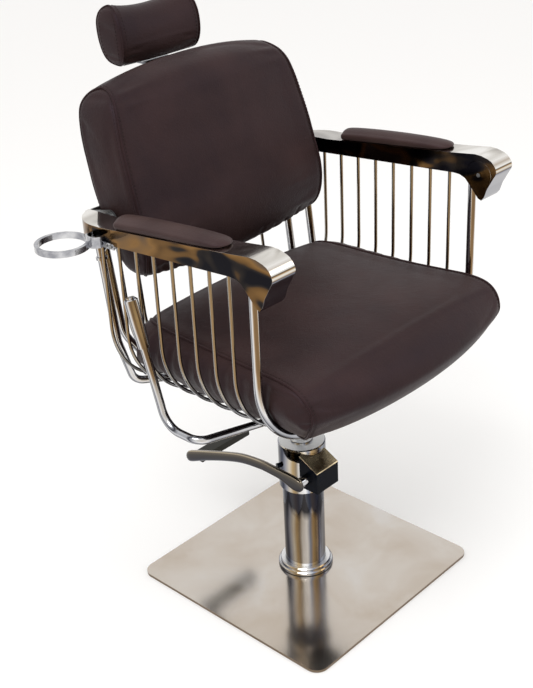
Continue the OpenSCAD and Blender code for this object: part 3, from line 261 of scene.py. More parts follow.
leather = embossed_leatherette("chocolate_leatherette", "#2a1e1d", "#322422", "#3a2a28")
pad_leather = embossed_leatherette("armrest_leatherette", "#382a28", "#41322f", "#493936")
piping_leather = embossed_leatherette("piping_leatherette", "#281b1a", "#312221", "#392826", pebble=1.6, gleam=0.14)
thread = plain_coat("bonded_polyester_thread", "#1d1514", "#2c201e", 0.6, grit=0.6, Specular_IOR_Level=0.2)
# Painted reflections on the tubes, wires and column: the stops are warm, silver, navy and dark bands of a room seen in
# chrome
tube_chrome = painted_reflection_chrome("chrome_plated_tube", (-0.47, -0.82, 0.32), [
    (0.0, "#3e3f46"), (0.12, "#b9babf"), (0.24, "#7a6650"), (0.34, "#c9cacc"), (0.46, "#2b2c33"), (0.54, "#5a5b63"),
    (0.62, "#c4c5c9"), (0.70, "#24252c"), (0.755, "#97989e"), (0.83, "#d2d1d0"), (0.885, "#b5aca0"), (0.92, "#84694a"),
    (0.965, "#725b40"), (1.0, "#a3875c")], wander=0.06, painted_floor_reflection=(0.56, 0.68))
wire_chrome = painted_reflection_chrome("chrome_plated_wire", (-0.60, -0.74, 0.30), [
    (0.0, "#6f5c45"), (0.14, "#b3b0ab"), (0.30, "#47454a"), (0.46, "#a5a6a9"), (0.58, "#37363a"), (0.68, "#b4b5b8"),
    (0.76, "#3f3c3c"), (0.83, "#a8a297"), (0.89, "#7f6a4f"), (1.0, "#8d7554")], wander=0.06, painted_floor_reflection=(0.55, 0.66))
column_chrome = painted_reflection_chrome("chrome_plated_column", (0.70, -0.71, 0.0), [
    (0.0, "#0e1424"), (0.08, "#20263c"), (0.14, "#8d8f98"), (0.22, "#c4bbab"), (0.29, "#a58d66"), (0.36, "#857763"),
    (0.42, "#cfcdca"), (0.53, "#ececec"), (0.60, "#8a93a6"), (0.67, "#a98f66"), (0.76, "#6b5b45"), (0.82, "#1c2032"),
    (0.90, "#90949f"), (1.0, "#101628")], wander=0.05, rough=(0.04, 0.09), soft_top=True, painted_box_reflection=(0.105, 0.085))
bar_chrome = painted_reflection_bar()
plate_steel = polished_plate()
lid_chrome = satin_metal("chrome_plated_lid", "#5d4830", "#f2dfb8", 0.24, 0.03)
# Painted light on the foot lever: a bright line painted along the top and a dark navy underside painted as shade
lever_satin = painted_reflection_chrome("satin_chromed_lever", (0.0, 0.0, 1.0), [
    (0.0, "#1d2130"), (0.25, "#2a2e3c"), (0.42, "#38373b"), (0.60, "#4b4844"), (0.76, "#655d54"), (0.86, "#8d8371"),
    (0.92, "#bfb199"), (0.97, "#6f675e"), (1.0, "#5d564f")], wander=0.03, rough=(0.13, 0.2))
holder_satin = satin_metal("satin_cast_holder", "#85868d", "#c8c8ca", 0.16)
inner_steel = satin_metal("zinc_plated_steel", "#77787a", "#9b9b9a", 0.42)
ground_rod = satin_metal("ground_chrome_rod", "#b9bcc1", "#e2e3e4", 0.12)
# Painted reflection: the chrome pump box is painted glossy navy black for the dark room it reflects; the oil plug
# shares it
box_black = plain_coat("navy_black_box_painted_reflection", "#04070f", "#080e1c", 0.16, grit=4, lift=0.0001, Specular_IOR_Level=0.05)
black_paint = plain_coat("black_powder_coat", "#0d0e10", "#17181b", 0.45, Specular_IOR_Level=0.3)
black_rubber = plain_coat("moulded_black_rubber", "#1a1914", "#2b2a22", 0.5, grit=2, Specular_IOR_Level=0.3)
birch_ply = plain_coat("painted_birch_ply", "#191716", "#241f1d", 0.6, grit=3, Specular_IOR_Level=0.3)


# ---------------- making pieces

def set_piece(mesh, name, body):
    """Puts a mesh that has its finish in the scene, as a piece that moves with a body."""
    piece = bpy.data.objects.new(name, mesh)
    scene.collection.objects.link(piece)
    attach(piece, body)
    return piece


def show(mesh, name, finish, body):
    """Gives a mesh its finish and sets it in the scene."""
    mesh.materials.clear()
    mesh.materials.append(finish)
    return set_piece(mesh, name, body)


def refined(piece):
    """One round of subdivision, as much in a render as on the screen."""
    finer = piece.modifiers.new("finer", "SUBSURF")
    finer.levels = finer.render_levels = 1


def remade(node, finish, body, bevel=0.0, smooth=32):
    """A merged copy of a CAD node with its edges softened, shown in the node's place."""
    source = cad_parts[node].data
    mesh = bpy.data.meshes.new(node + "_skin")
    mesh.from_pydata([v.co[:] for v in source.vertices], [], [p.vertices[:] for p in source.polygons])
    work = bmesh.new()
    work.from_mesh(mesh)
    bmesh.ops.remove_doubles(work, verts=work.verts, dist=2e-6)
    bmesh.ops.dissolve_limit(work, angle_limit=math.radians(0.5), verts=work.verts, edges=work.edges)
    if bevel:
        edges = [e for e in work.edges if len(e.link_faces) == 2 and e.calc_face_angle() > math.radians(smooth)]
        bmesh.ops.bevel(work, geom=edges, offset=bevel * MM, segments=2, profile=0.5, affect="EDGES",
                        clamp_overlap=True)
    for face in work.faces:
        face.smooth = True
    for edge in work.edges:
        edge.smooth = len(edge.link_faces) == 2 and edge.calc_face_angle() < math.radians(smooth)
    work.to_mesh(mesh)
    work.free()
    piece = show(mesh, node + "_skin", finish, body)
    if bevel:
        steady = piece.modifiers.new("steady_normals", "WEIGHTED_NORMAL")
        steady.keep_sharp = True
    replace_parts(piece, node)


def loop_mesh(name, points, radius, sides=12):
    """A round cord swept along a closed path given in metres."""
    count = len(points)
    ahead = np.roll(points, -1, 0) - np.roll(points, 1, 0)
    ahead /= np.linalg.norm(ahead, axis=1)[:, None]
    normal = np.cross(ahead[0], (0.3, 0.2, 0.93))
    normal /= np.linalg.norm(normal)
    sides_at = []
    for tangent in ahead:
        normal = normal - tangent * normal.dot(tangent)
        normal /= np.linalg.norm(normal)
        sides_at.append((normal, np.cross(tangent, normal)))
    turns = np.linspace(0, 2 * math.pi, sides, endpoint=False)
    verts = [middle + radius * (math.cos(a) * u + math.sin(a) * v)
             for middle, (u, v) in zip(points, sides_at) for a in turns]
    # The last ring meets the first at the nearest turn
    gaps = [np.linalg.norm(verts[(count - 1) * sides] - verts[s]) for s in range(sides)]
    nearest = int(np.argmin(gaps))
    faces = []
    for i in range(count):
        k = (i + 1) % count
        shift = 0 if k else nearest
        for j in range(sides):
            n = (j + 1) % sides
            faces.append((i * sides + j, i * sides + n, k * sides + (n + shift) % sides,
                          k * sides + (j + shift) % sides))
    return skin(name, verts, faces)


def skin(name, verts, faces):
    """A smooth mesh whose faces point outward."""
    mesh = bpy.data.meshes.new(name)
    mesh.from_pydata([tuple(v) for v in verts], [], faces)
    tidy_skin(mesh)
    return mesh


def tidy_skin(mesh):
    """Merges doubles, turns the faces outward and shades them smooth."""
    work = bmesh.new()
    work.from_mesh(mesh)
    bmesh.ops.remove_doubles(work, verts=work.verts, dist=1e-6)
    bmesh.ops.recalc_face_normals(work, faces=work.faces)
    for face in work.faces:
        face.smooth = True
    work.to_mesh(mesh)
    work.free()


# ---------------- sewn covers

def smooth_rows(keys, count):
    """A smooth curve through rows of numbers, cut into rows evenly spread along the cover's face."""
    rows = np.array(keys, float)
    last = len(rows) - 1
    fine = []
    for t in np.linspace(0, last, 60 * last + 1):
        i = min(int(t), last - 1)
        u = t - i
        a, b, c, d = (rows[min(max(k, 0), last)] for k in (i - 1, i, i + 1, i + 2))
        square, cube = 2 * a - 5 * b + 4 * c - d, 3 * b - a - 3 * c + d
        fine.append(0.5 * (2 * b + (c - a) * u + square * u ** 2 + cube * u ** 3))
    fine = np.array(fine)
    step = np.linalg.norm(np.diff(fine[:, 0:2], axis=0), axis=1) + np.linalg.norm(np.diff(fine[:, 5:7], axis=0), axis=1)
    run = np.concatenate([[0], np.cumsum(step)])
    want = np.linspace(0, run[-1], count)
    return np.array([np.interp(want, run, fine[:, c]) for c in range(fine.shape[1])]).T


class Cover:
    """A sewn cover as one closed skin: rings of points round a face, a back and two side panels.

    Each key row gives, in mm: the face's middle (y, z) and its seam (y, z, half width), the back's middle (y, z)
    and its seam (y, z, half width), and how far the side panel bulges.
    """

    def __init__(self, name, keys, count, across, deep, bow=2.0, crown=2.6, under=None, side_limit=None):
        self.name, self.count, self.across, self.deep = name, count, across, deep
        self.ring = 2 * across + 2 * deep
        rows = smooth_rows(keys, count)
        grid = np.zeros((count, self.ring, 3))
        t = np.linspace(1, -1, across)
        wy, wz, wu = np.abs(t) ** bow, np.abs(t) ** crown, np.abs(t) ** (under or crown)
        share = (np.arange(deep) + 1) / (deep + 1)
        for i, (ya0, za0, ya1, za1, xa, yb0, zb0, yb1, zb1, xb, side) in enumerate(rows):
            grid[i, :across] = np.stack([t * xa, ya0 + (ya1 - ya0) * wy, za0 + (za1 - za0) * wz], 1)
            grid[i, across + deep:2 * across + deep] = np.stack(
                [-t * xb, yb0 + (yb1 - yb0) * wy, zb0 + (zb1 - zb0) * wu], 1)
            y, z = ya1 + (yb1 - ya1) * share, za1 + (zb1 - za1) * share
            straight = xa + (xb - xa) * share
            reach = np.full(deep, side) if side_limit is None else np.minimum(side, side_limit(z))
            x = straight + np.maximum(reach - straight, 0) * np.sin(np.pi * share) ** 0.45
            grid[i, across:across + deep] = np.stack([-x, y, z], 1)
            grid[i, 2 * across + deep:] = np.stack([x, y, z], 1)[::-1]
        self.grid = grid * MM

    def seam_places(self, side):
        """Ring places of the face's and the back's seam, on the plus or the minus X side."""
        if side > 0:
            return 0, self.ring - self.deep - 1
        return self.across - 1, self.across + self.deep

    def loop(self, side, out, inward=0, lift=0.0):
        """A closed line round a side panel: its seam, or a line inward of it on the face (+) or the panel (-)."""
        face, back = self.seam_places(side)
        step = 1 if side > 0 else -1
        a, b = (face + step * inward) % self.ring, (back - step * inward) % self.ring
        raised = self.grid + out * lift * MM
        return np.concatenate([raised[:, a], raised[::-1, b]])

    def faces(self):
        """Quads between the rings, and the two end rings closed."""
        a, d, r = self.across, self.deep, self.ring
        quads = []
        for i in range(self.count - 1):
            for j in range(r):
                k = (j + 1) % r
                quads.append((i * r + j, (i + 1) * r + j, (i + 1) * r + k, i * r + k))
        for row in (0, (self.count - 1) * r):
            for j in range(a - 1):
                quads.append((row + j, row + j + 1, row + a + d + a - 2 - j, row + a + d + a - 1 - j))
            quads.append(tuple(row + j for j in range(a - 1, a + d + 1)))
            quads.append(tuple(row + j for j in range(2 * a + d - 1, r)) + (row,))
        return quads

    def normals(self):
        """Outward direction at every point of the grid."""
        mesh = bpy.data.meshes.new("scratch")
        mesh.from_pydata([tuple(p) for p in self.grid.reshape(-1, 3)], [], self.faces())
        work = bmesh.new()
        work.from_mesh(mesh)
        bmesh.ops.recalc_face_normals(work, faces=work.faces)
        work.normal_update()
        out = np.array([v.normal[:] for v in work.verts]).reshape(self.grid.shape)
        work.free()
        bpy.data.meshes.remove(mesh)
        return out

    def press(self, path, width, depth, normals):
        """Draws the skin in along a path, as a seam or a crease does."""
        tree = KDTree(len(path))
        for i, p in enumerate(path):
            tree.insert(Vector(p), i)
        tree.balance()
        flat, out = self.grid.reshape(-1, 3), normals.reshape(-1, 3)
        for i in range(len(flat)):
            away = tree.find(Vector(flat[i]))[2] / (width * MM)
            if away < 1:
                flat[i] -= out[i] * depth * MM * (1 - away * away) ** 2

    def mesh(self):
        return skin(self.name, self.grid.reshape(-1, 3), self.faces())


def even_path(points, step=0.004, closed=True):
    """The same path with evenly spread points."""
    points = np.asarray(points)
    if closed:
        points = np.concatenate([points, points[:1]])
    gap = np.linalg.norm(np.diff(points, axis=0), axis=1)
    points, gap = points[np.concatenate([[True], gap > 1e-6])], gap[gap > 1e-6]
    run = np.concatenate([[0], np.cumsum(gap)])
    want = np.linspace(0, run[-1], max(int(run[-1] / step), 8))
    if closed:
        want = want[:-1]
    return np.stack([np.interp(want, run, points[:, c]) for c in range(3)], 1)


def eased(points, rounds):
    """Takes small kinks out of a closed path."""
    for _ in range(rounds):
        points = (np.roll(points, 1, 0) + 2 * points + np.roll(points, -1, 0)) / 4
    return points


def stuff(covers, frames=18):
    """Cloth pressure fills all the covers at once. The seams stay where they are sewn and the swelling is capped."""
    trial = []
    for cover, pressure, cap, pinned in covers:
        mesh = bpy.data.meshes.new("trial")
        mesh.from_pydata([tuple(p) for p in cover.grid.reshape(-1, 3)], [], cover.faces())
        work = bmesh.new()
        work.from_mesh(mesh)
        bmesh.ops.recalc_face_normals(work, faces=work.faces)
        work.to_mesh(mesh)
        work.free()
        dummy = bpy.data.objects.new("trial_" + cover.name, mesh)
        scene.collection.objects.link(dummy)
        sewn = dummy.vertex_groups.new(name="sewn")
        weight = pinned(cover)
        for i, w in enumerate(weight.reshape(-1)):
            if w > 0:
                sewn.add([i], float(min(w, 1)), "REPLACE")
        cloth = dummy.modifiers.new("cloth", "CLOTH")
        cloth.settings.quality = 5
        cloth.settings.mass = 0.25
        cloth.settings.tension_stiffness = cloth.settings.compression_stiffness = 40
        cloth.settings.shear_stiffness = 25
        cloth.settings.bending_stiffness = 9
        cloth.settings.shrink_min = 0.006
        cloth.settings.use_pressure = True
        cloth.settings.uniform_pressure_force = pressure
        cloth.settings.vertex_group_mass = "sewn"
        cloth.settings.effector_weights.gravity = 0
        cloth.collision_settings.use_collision = False
        trial.append((cover, dummy, cap))
    for frame_number in range(1, frames + 1):
        scene.frame_set(frame_number)
    view = bpy.context.evaluated_depsgraph_get()
    for cover, dummy, cap in trial:
        filled = dummy.evaluated_get(view).data
        points = np.array([v.co[:] for v in filled.vertices]).reshape(cover.grid.shape)
        moved = points - cover.grid
        far = np.linalg.norm(moved, axis=2, keepdims=True)
        cover.grid = cover.grid + moved * np.minimum(1, cap * MM / np.maximum(far, 1e-9))
        mesh = dummy.data
        bpy.data.objects.remove(dummy)
        bpy.data.meshes.remove(mesh)
    scene.frame_set(1)


def seam_weight(cover):
    """How firmly each point is sewn: full at the seams, easing off over three rows."""
    weight = np.zeros(cover.grid.shape[:2])
    for side in (1, -1):
        for place in cover.seam_places(side):
            for off, w in ((0, 1), (1, 0.6), (2, 0.2)):
                for sign in (1, -1):
                    column = (place + sign * off) % cover.ring
                    weight[:, column] = np.maximum(weight[:, column], w)
    return weight


# ---------------- stitches by geometry nodes

def new_tree(name, sizes):
    """A geometry node tree with named sizes as its inputs, their identifiers, and the inputs as its nodes see them."""
    tree = bpy.data.node_groups.new(name, "GeometryNodeTree")
    tree.interface.new_socket("Geometry", in_out="INPUT", socket_type="NodeSocketGeometry")
    names = {}
    for label, value in sizes.items():
        kind = "NodeSocketInt" if isinstance(value, int) else "NodeSocketFloat"
        socket = tree.interface.new_socket(label, in_out="INPUT", socket_type=kind)
        socket.default_value = value
        names[label] = socket.identifier
    tree.interface.new_socket("Geometry", in_out="OUTPUT", socket_type="NodeSocketGeometry")
    return tree, names, add(tree, "NodeGroupInput").outputs


def stitch_tree():
    """Rows of stitches along the piece's edges: each is a short thread sunk into the cover."""
    tree, sizes, given = new_tree("stitch_row",
                                  {"Stitch length": 0.0046, "Stitch gap": 0.0024, "Thread thickness": 0.0011})
    pitch = add(tree, "Math", {0: given["Stitch length"], 1: given["Stitch gap"]}, operation="ADD")
    line = add(tree, "GeometryNodeMeshToCurve", {"Mesh": given["Geometry"]})
    spread = add(tree, "GeometryNodeResampleCurve", {"Curve": line, "Length": pitch}, mode="LENGTH")
    tangent = add(tree, "GeometryNodeInputTangent")
    turn = add(tree, "FunctionNodeAlignEulerToVector", {"Vector": tangent}, axis="Z")
    half = add(tree, "Math", {0: given["Thread thickness"], 1: 0.5}, operation="MULTIPLY")
    one = add(tree, "GeometryNodeMeshUVSphere", {"Segments": 6, "Rings": 5, "Radius": 1.0})
    half_length = add(tree, "Math", {0: given["Stitch length"], 1: 0.5}, operation="MULTIPLY")
    size = add(tree, "CombineXYZ", {"X": half, "Y": half, "Z": half_length})
    shaped = add(tree, "GeometryNodeTransform", {"Geometry": one, "Scale": size})
    placed = add(tree, "GeometryNodeInstanceOnPoints", {"Points": spread, "Instance": shaped, "Rotation": turn})
    real = add(tree, "GeometryNodeRealizeInstances", {"Geometry": placed})
    smooth = add(tree, "GeometryNodeSetShadeSmooth", {"Geometry": real})
    dyed = add(tree, "GeometryNodeSetMaterial", {"Geometry": smooth, "Material": thread})
    add(tree, "NodeGroupOutput", {"Geometry": dyed})
    return tree, sizes


def baked(carrier, tree, values, name):
    """The plain mesh that a node tree makes of a carrier object, which is then removed."""
    work = carrier.modifiers.new("made", "NODES")
    work.node_group = tree
    for identifier, value in values.items():
        work[identifier] = value
    bpy.context.view_layer.update()
    made = bpy.data.meshes.new_from_object(carrier.evaluated_get(bpy.context.evaluated_depsgraph_get()))
    made.name = name
    carrier.modifiers.remove(work)
    bpy.data.objects.remove(carrier)
    return made


def sew(name, paths, body):
    """Shows rows of stitches along closed paths, as one piece."""
    tree, sizes = stitches
    verts, edges = [], []
    for path in paths:
        first = len(verts)
        verts += [tuple(p) for p in path]
        edges += [(first + i, first + (i + 1) % len(path)) for i in range(len(path))]
    line = bpy.data.meshes.new(name + "_line")
    line.from_pydata(verts, edges, [])
    carrier = bpy.data.objects.new(name + "_line", line)
    scene.collection.objects.link(carrier)
    mesh = baked(carrier, tree, {sizes["Stitch length"]: 0.0046}, name)
    return set_piece(mesh, name, body)


# ---------------- the covers

# The cradle in mm: its rearmost wire, the wires' pitch and number, the thick front hoop, the half width of its flat
# bottom, the inner radius of its bends and the height at which they end
rear_wire, wire_pitch, wires, front_hoop = 188.5, 46.5, 8, -191.0
flat_half, bend_inner, bend_end = 163.0, 145.0, 645.0
wire_ys = [rear_wire - wire_pitch * i for i in range(wires)] + [front_hoop]


def cradle_half(z):
    """Half width in mm that the wire cradle leaves for the cushion at a height."""
    low = np.maximum(bend_end - np.asarray(z, float), 0)
    return flat_half + np.sqrt(np.maximum(bend_inner ** 2 - low ** 2, 0))


# Seat, from its rear end to its round front
seat_keys = [
    (184, 600, 181, 599, 186, 183, 586, 180, 586, 184, 188),
    (185, 626, 178, 620, 212, 181, 556, 176, 560, 206, 222),
    (179, 643, 170, 637, 231, 176, 533, 170, 537, 216, 262),
    (161, 653, 152, 645, 247, 162, 508, 156, 522, 224, 290),
    (120, 657, 112, 646, 257, 120, 502, 116, 516, 228, 307),
    (40, 658, 40, 645, 262, 40, 501, 40, 515, 229, 310),
    (-60, 658, -60, 646, 268, -60, 501, -60, 515, 229, 310),
    (-150, 659, -150, 649, 276, -150, 502, -150, 515, 231, 309),
    (-215, 657, -205, 651, 281, -215, 506, -205, 517, 236, 306),
    (-262, 649, -246, 647, 284, -258, 520, -236, 528, 253, 300),
    (-299, 631, -270, 634, 285, -296, 538, -262, 550, 271, 294),
    (-321, 608, -283, 615, 284, -320, 564, -279, 574, 280, 289),
    (-329, 590, -287, 597, 283, -329, 584, -287, 592, 283, 284),
]
# Backrest, from its lower edge to its top
back_keys = [
    (196, 696, 204, 717, 214, 209, 697, 210, 718, 214, 215),
    (168, 702, 177, 721, 229, 215, 707, 216, 724, 227, 232),
    (149, 717, 158, 732, 240, 221, 723, 221, 737, 237, 246),
    (136, 746, 146, 755, 246, 229, 748, 229, 758, 244, 255),
    (131, 786, 141, 789, 249, 243, 786, 242, 789, 248, 260),
    (134, 827, 144, 828, 249, 259, 830, 257, 830, 249, 261),
    (148, 872, 157, 872, 248, 277, 880, 275, 880, 250, 260),
    (163, 924, 172, 924, 246, 291, 930, 288, 930, 249, 259),
    (178, 972, 187, 969, 242, 303, 972, 300, 970, 246, 256),
    (190, 1014, 198, 1006, 237, 312, 1015, 309, 1008, 240, 250),
    (203, 1052, 210, 1037, 231, 313, 1047, 310, 1034, 234, 241),
    (221, 1077, 226, 1057, 223, 303, 1071, 300, 1053, 224, 229),
    (245, 1089, 247, 1067, 216, 285, 1086, 283, 1065, 216, 219),
    (262, 1092, 262, 1070, 213, 268, 1092, 266, 1070, 213, 213),
]
# Headrest, from its lower edge to its top; the middle of its top is saddled
head_keys = [
    (352, 1066, 353, 1068, 92, 360, 1066, 358, 1068, 92, 92),
    (334, 1071, 339, 1074, 98, 380, 1071, 377, 1074, 98, 100),
    (325, 1086, 331, 1088, 101, 393, 1085, 390, 1087, 100, 105),
    (323, 1107, 327, 1108, 102, 400, 1107, 398, 1107, 101, 108),
    (328, 1129, 328, 1133, 102, 404, 1130, 403, 1132, 101, 108),
    (336, 1148, 334, 1156, 101, 403, 1149, 403, 1155, 100, 106),
    (346, 1162, 344, 1172, 98, 396, 1162, 396, 1171, 97, 102),
    (359, 1169, 358, 1181, 94, 386, 1169, 385, 1180, 93, 96),
    (369, 1171, 368, 1184, 91, 375, 1171, 374, 1184, 91, 91),
]
# Armrest pad in its own frame, from its rear end to its front end, standing on the bar's top
pad_keys = [
    (137.5, 9, 134, 8, 12, 137.5, 3, 134, 3, 14, 15),
    (134, 15, 130, 11.5, 17, 134, 1, 130, 1, 20, 22),
    (120, 20, 118, 14.5, 18.5, 120, 0.5, 118, 0.5, 23, 25),
    (60, 21.5, 60, 15.5, 19, 60, 0.3, 60, 0.3, 23.5, 25.5),
    (-20, 20, -20, 14.5, 19, -20, 0.3, -20, 0.3, 23.5, 25.5),
    (-90, 16, -90, 11.5, 18.5, -90, 0.3, -90, 0.3, 22.5, 24.5),
    (-122, 11.5, -119, 8.5, 16.5, -122, 0.5, -119, 0.5, 20, 22),
    (-134, 7, -130, 5.5, 12, -134, 1, -130, 1, 14.5, 16),
    (-138, 4, -133.5, 3.5, 8, -138, 2.5, -133.5, 2.5, 9, 9),
]


def hold_seat(cover):
    """The seams are sewn, and the underside rests on its board up to 521 mm."""
    weight = seam_weight(cover)
    weight[cover.grid[:, :, 2] < 521 * MM] = 1
    return weight


def hold_back(cover):
    """The seams are sewn, and the rear lies flat on its panel."""
    weight = seam_weight(cover)
    a, d = cover.across, cover.deep
    weight[:, a + d:2 * a + d] = 1
    return weight


def dress_cushion(cover, node, body, seam_depth):
    """Seams pressed into a filled cover, the lines for its piping and the outward directions for its stitches, and its
    place in the model.
    """
    out = cover.normals()
    for side in (1, -1):
        cover.press(eased(even_path(cover.loop(side, out)), 4), 11, seam_depth, out)
    loops = [eased(even_path(cover.loop(side, out, 0, 0.9)), 4) for side in (1, -1)]
    piece = show(cover.mesh(), cover.name, leather, body)
    refined(piece)
    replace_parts(piece, node)
    return loops, out


def pipe(name, loops, body, radius):
    """Leather piping laid in the seams."""
    parts = bmesh.new()
    for loop in loops:
        mesh = loop_mesh("scratch", loop, radius * MM)
        parts.from_mesh(mesh)
        bpy.data.meshes.remove(mesh)
    mesh = bpy.data.meshes.new(name)
    parts.to_mesh(mesh)
    parts.free()
    return show(mesh, name, piping_leather, body)


def stitch_rows(cover, out, inward):
    """Closed stitch lines beside the seams, inward on the face (+) or on the side panels (-)."""
    return [eased(even_path(cover.loop(side, out, inward, 0.2)), 2) for side in (1, -1)]


def make_covers():
    """The seat, backrest and headrest covers: filled, dented by the wires, gathered, seamed and sewn."""
    seat = Cover("seat_cover", seat_keys, 112, 79, 20, bow=2.0, crown=2.4, under=6, side_limit=cradle_half)
    back = Cover("back_cover", back_keys, 88, 71, 16, bow=2.2, crown=2.2)
    head = Cover("headrest_cover", head_keys, 48, 41, 10, bow=2.0, crown=2.0)
    stuff([(seat, 3.2, 3.5, hold_seat), (back, 3.2, 4, hold_back), (head, 3.2, 3, seam_weight)])

    # The seat's sides bulge between the cradle wires and lie against them; all in mm
    dent_width, dent_depth, slack = 8.5, 3.2, 2.5
    ripple_length, ripple_depth, side_from = 15.5, 0.8, 236
    side_top, side_foot, behind_hoop = 646, 519, -200
    x, y, z = (seat.grid[:, :, i] / MM for i in range(3))
    near = np.zeros_like(y)
    for wire in wire_ys:
        near = np.maximum(near, np.exp(-((y - wire) / dent_width) ** 2))
    room = cradle_half(z) + slack - (slack + 1.5) * near
    inside = (z < side_top) & (y > behind_hoop)
    low_side = np.clip((side_top + 2 - z) / 16, 0, 1) * np.clip((z - side_foot) / 12, 0, 1)
    ripple = np.sin(2 * math.pi * y / ripple_length + 1.7 * np.sin(y / 23) + z / 26)
    drawn_in = (dent_depth * near + ripple_depth * ripple * inside) * low_side
    x_size = np.abs(x) - np.where(np.abs(x) > side_from, drawn_in, 0)
    seat.grid[:, :, 0] = np.sign(x) * np.where(inside, np.minimum(x_size, room), x_size) * MM
    widest = 0.2625
    back.grid[:, :, 0] = np.clip(back.grid[:, :, 0], -widest, widest)

    # Gathers at the backrest's lower edge, deeper near the corners
    out = back.normals()
    for i, at in enumerate([-226, -205, -188, -160, -128, -90, -40, 18, 70, 112, 150, 182, 206, 228]):
        reach = (6, 9, 5, 8, 6)[i % 5]
        column = int(np.argmin(np.abs(back.grid[20, :back.across, 0] / MM - at)))
        crease = even_path(back.grid[3:3 + reach, column], 0.003, closed=False)
        back.press(crease, 8, 3.0 if abs(at) > 140 else 1.6, out)

    for cover, node, body, fill in ((seat, "seat_cushion", "seat", 0.85), (back, "back_cushion", "back", 0.8),
                                    (head, "headrest_cushion", "headrest", 0.85)):
        loops, out = dress_cushion(cover, node, body, 2.2 if cover is head else 3.4)
        pipe(cover.name + "_piping", loops, body, 1.6 if cover is head else 2.3)
        rows = stitch_rows(cover, out, 1 if cover is not head else 2)
        if cover is back or cover is head:
            rows += stitch_rows(cover, out, -1 if cover is back else -2)
        sew(cover.name + "_stitches", rows, body)


def make_pads():
    """Arm pads: moulded soft tops, crowned and drawn in at the base."""
    slope, stand = math.radians(5.52), (0.3125, -0.0062, 0.8771)
    for side, node in ((1, "left_pad"), (-1, "right_pad")):
        pad = Cover(node + "_cover", pad_keys, 60, 21, 7, bow=2.0, crown=2.0)
        shape = pad.grid.reshape(-1, 3)
        turned = shape.copy()
        turned[:, 1] = shape[:, 1] * math.cos(slope) + shape[:, 2] * math.sin(slope)
        turned[:, 2] = shape[:, 2] * math.cos(slope) - shape[:, 1] * math.sin(slope)
        pad.grid = (turned + np.array((side * stand[0], *stand[1:]))).reshape(pad.grid.shape)
        piece = show(pad.mesh(), node + "_cover", pad_leather, "seat")
        refined(piece)
        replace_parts(piece, node)


# ---------------- foot lever

# From the shaft end to the pedal end: how far along, top and bottom in shares of the lever's length, and the share of
# its width
lever_keys = [
    (-0.058, 0.022, -0.002, 0.45), (-0.048, 0.056, -0.024, 0.80), (-0.020, 0.074, -0.038, 0.97),
    (0.02, 0.080, -0.038, 1), (0.06, 0.081, -0.024, 1), (0.12, 0.082, -0.003, 1), (0.20, 0.084, 0.004, 1),
    (0.30, 0.084, 0.005, 1), (0.45, 0.066, -0.014, 1), (0.60, 0.024, -0.058, 1), (0.80, -0.045, -0.135, 1),
    (0.92, -0.088, -0.190, 1), (0.965, -0.106, -0.207, 0.97), (0.988, -0.124, -0.200, 0.8),
    (0.999, -0.148, -0.178, 0.45),
]


def make_lever(around=24, length=323.0, width=14.6, shaft_y=-57, shaft_z=268, lever_x=-0.085):
    """The curved foot lever: one bar of oval section, round at both ends."""
    keys = [(shaft_y + s * length, shaft_z + a * length, 0, 0, w, shaft_y + s * length, shaft_z + b * length)
            for s, a, b, w in lever_keys]
    # How square the section is, and how much of the height between top and bottom it fills on each side
    square, fill = 0.8, 0.42
    rows = smooth_rows(keys, 64)
    verts = []
    for y, high, _, _, share, _, low in rows:
        for k in range(around):
            turn = 2 * math.pi * k / around
            c, v = math.cos(turn), math.sin(turn)
            verts.append((lever_x + width / 2 * MM * share * math.copysign(abs(c) ** square, c), y * MM,
                          ((high + low) / 2 + (high - low) * fill * math.copysign(abs(v) ** square, v)) * MM))
    faces = [(i * around + k, i * around + (k + 1) % around, (i + 1) * around + (k + 1) % around, (i + 1) * around + k)
             for i in range(len(rows) - 1) for k in range(around)]
    last = (len(rows) - 1) * around
    faces += [tuple(range(around))[::-1], tuple(last + k for k in range(around))]
    mesh = skin("foot_lever_bar", verts, faces)
    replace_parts(show(mesh, "foot_lever_bar", lever_satin, "foot_lever"), "pump_lever")


# ---------------- cradle wires by geometry nodes

